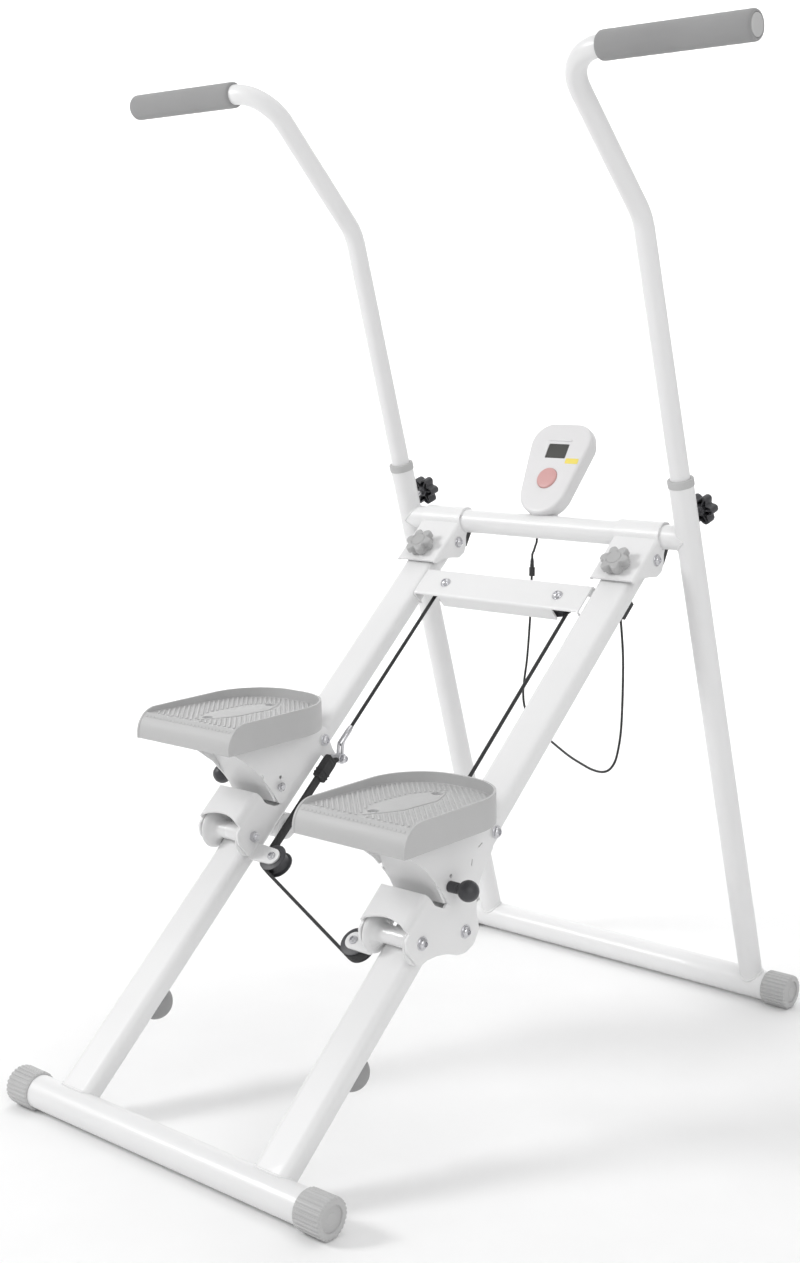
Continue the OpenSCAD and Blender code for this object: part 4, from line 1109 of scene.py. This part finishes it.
finish_mesh("console_housing", console_shell(), M_CONSOLE, 1, SHELL, "rear_frame", ["console"], bevel=0.0005)
bm = solid(loft, [(plate(-0.0190, 0.0190, 0.1072, 0.1098, 0.0008), 0.0115),
          (plate(-0.0190, 0.0190, 0.1072, 0.1098, 0.0008), 0.0128),
          (plate(-0.0186, 0.0186, 0.1076, 0.1094, 0.0006), 0.0132)], Matrix())
finish_mesh("console_bar", bm, M_CONSOLE, 1, SHELL, "rear_frame")
bm = bmesh.new()
low, high = WINDOW_Y - 0.0109, WINDOW_Y + 0.0109
loft(bm, [(plate(-0.0169, 0.0169, low, high, 0.0014), 0.00902),
          (plate(-0.0169, 0.0169, low, high, 0.0014), 0.0110),
          (plate(-0.0165, 0.0165, low + 0.0004, high - 0.0004, 0.0012), 0.0114)], Matrix())
finish_mesh("console_display", bm, M_CONSOLE, 1, LCD, "rear_frame", ["console_window"])
bm = solid(lathe, mm([(0, 6.1), (15.4, 6.1), (15.4, 12.6), (15.1, 13.4), (14.4, 13.9), (12, 14.2), (6, 14.3),
                      (0, 14.3)]), shift(0, BUTTON_Y, 0), 64)
finish_mesh("round_button", bm, M_CONSOLE, 1, BUTTON, "button", ["console_button"], sharp=40)
bm = solid(prism, plate(0.0195, 0.0405, 0.0735, 0.0815, 0.0012), 0.0118, 0.01235)
finish_mesh("plain_patch", bm, M_CONSOLE, 1, YELLOW, "rear_frame")

# ---------- welds ----------


def weld(bm, centre, e1, e2, axis, section, meet, bead=0.0017, n=72):
    """Rippled bead where a profile running along axis meets a round tube of radius meet."""
    pts = []
    for k in range(n):
        u, v = section(2 * pi * k / n)
        t = sqrt(max(meet * meet - v * v, 0))
        pts.append(centre + e1 * u + e2 * v + axis * (t + 0.0004))
    rings = []
    for k in range(n):
        t = (pts[(k + 1) % n] - pts[k - 1]).normalized()
        nrm = (e1 * (pts[k] - centre).dot(e1) + e2 * (pts[k] - centre).dot(e2)).normalized()
        b = t.cross(nrm).normalized()
        nrm = b.cross(t)
        r = bead * (1 + 0.10 * sin(k * 2.9) + 0.12 * noise.noise(pts[k] * 300))
        rings.append([bm.verts.new(pts[k] + r * (cos(2 * pi * j / 8) * nrm + sin(2 * pi * j / 8) * b))
                      for j in range(8)])
    skin(bm, rings + rings[:1])


X = Vector((1, 0, 0))
up_axis = (M_UP.to_3x3() @ Vector((0, 0, 1))).normalized()
up_back = (M_UP.to_3x3() @ Vector((0, 1, 0))).normalized()
rail_axis = (M_RAIL.to_3x3() @ Vector((0, 1, 0))).normalized()


def round_section(r):
    return lambda a: (r * cos(a), r * sin(a))


def rail_section(a):
    w, h, r = 0.026, 0.0135, 0.011
    u, v = cos(a), sin(a)
    k = min(w / max(abs(u), 1e-6), h / max(abs(v), 1e-6))
    x, y = u * k, v * k
    cx, cy = w - r, h - r
    if abs(x) > cx and abs(y) > cy:
        d = Vector((abs(x) - cx, abs(y) - cy)).normalized() * r
        x, y = (cx + d.x) * (1 if x > 0 else -1), (cy + d.y) * (1 if y > 0 else -1)
    return x, y


bm = bmesh.new()
for side in (-1, 1):
    weld(bm, Vector((side * RAIL_X, FRONT_Y, FLOOR_Z)), X, out_of_slope, rail_axis, rail_section, 0.020)
finish_mesh("weld_beads_front", bm, Matrix(), 1, PAINT, "ladder", sharp=60)
bm = bmesh.new()
for side in (-1, 1):
    weld(bm, Vector((side * POST_X, REAR_Y, FLOOR_Z)), X, up_back, up_axis, round_section(0.016), 0.020)
    weld(bm, Vector((side * POST_X, BAR_Y, BAR_Z)), up_axis, up_back, X * -side, round_section(0.016), 0.016,
         0.0013)
finish_mesh("weld_beads_rear", bm, Matrix(), 1, PAINT, "rear_frame", sharp=60)

# small blocks that keep their CAD shape get a softer edge
for node in ("stop_pads", "sensor"):
    add_bevel(frame["nodes"][node], 0.0012)

# ---------- floor, light ----------


bm = bmesh.new()
steps = [(-9.0, 0.0), (3.0, 0.0)] + [(3.0 + 1.6 * sin(radians(a)),
                                      1.6 - 1.6 * cos(radians(a))) for a in range(10, 91, 10)] + [(4.6, 7.0)]
turn_floor = Matrix.Rotation(radians(AZIMUTH), 4, "Z")
rows = [[bm.verts.new(turn_floor @ Vector((x, y, z - 0.0005))) for y, z in steps] for x in (-9, -3, 3, 9)]
for a, b in zip(rows, rows[1:]):
    for k in range(len(steps) - 1):
        bm.faces.new((a[k], b[k], b[k + 1], a[k + 1]))
me = bpy.data.meshes.new("studio_floor")
bm.to_mesh(me)
bm.free()
me.shade_smooth()
floor = bpy.data.objects.new("studio_floor", me)
bpy.context.collection.objects.link(floor)
me.materials.append(material("floor_paper", (0.89, 0.89, 0.89), 0.8, grain=(60, 0.02), tint=0.01))
floor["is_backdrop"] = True


def area(name, where, aim, size, power, colour=(1, 1, 1)):
    lamp = bpy.data.lights.new(name, "AREA")
    lamp.shape = "RECTANGLE"
    lamp.size, lamp.size_y = size
    lamp.energy = power
    lamp.color = colour
    o = bpy.data.objects.new(name, lamp)
    bpy.context.collection.objects.link(o)
    o.location = where
    o.rotation_euler = (Vector(aim) - Vector(where)).to_track_quat("-Z", "Y").to_euler()
    return o


area("key_light", (-2.5, -2.7, 2.6), (0, -0.1, 0.3), (1.1, 1.1), 78)
area("fill_light", (3.0, -1.5, 2.0), (0, 0, 0.5), (2.6, 2.2), 36)
area("top_light", (0.4, 0.6, 3.9), (0, 0, 0), (3.0, 3.0), 30)
wall = turn_floor @ Vector((0, 2.2, 3.4))
area("wall_light", wall, turn_floor @ Vector((0, 4.6, 1.6)), (7.0, 1.2), 150)
world = bpy.data.worlds.new("studio")
world.use_nodes = True
world.node_tree.nodes["Background"].inputs["Color"].default_value = (1, 1, 1, 1)
world.node_tree.nodes["Background"].inputs["Strength"].default_value = 0.50
bpy.context.scene.world = world
bpy.context.scene.view_settings.view_transform = "Standard"

low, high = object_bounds()
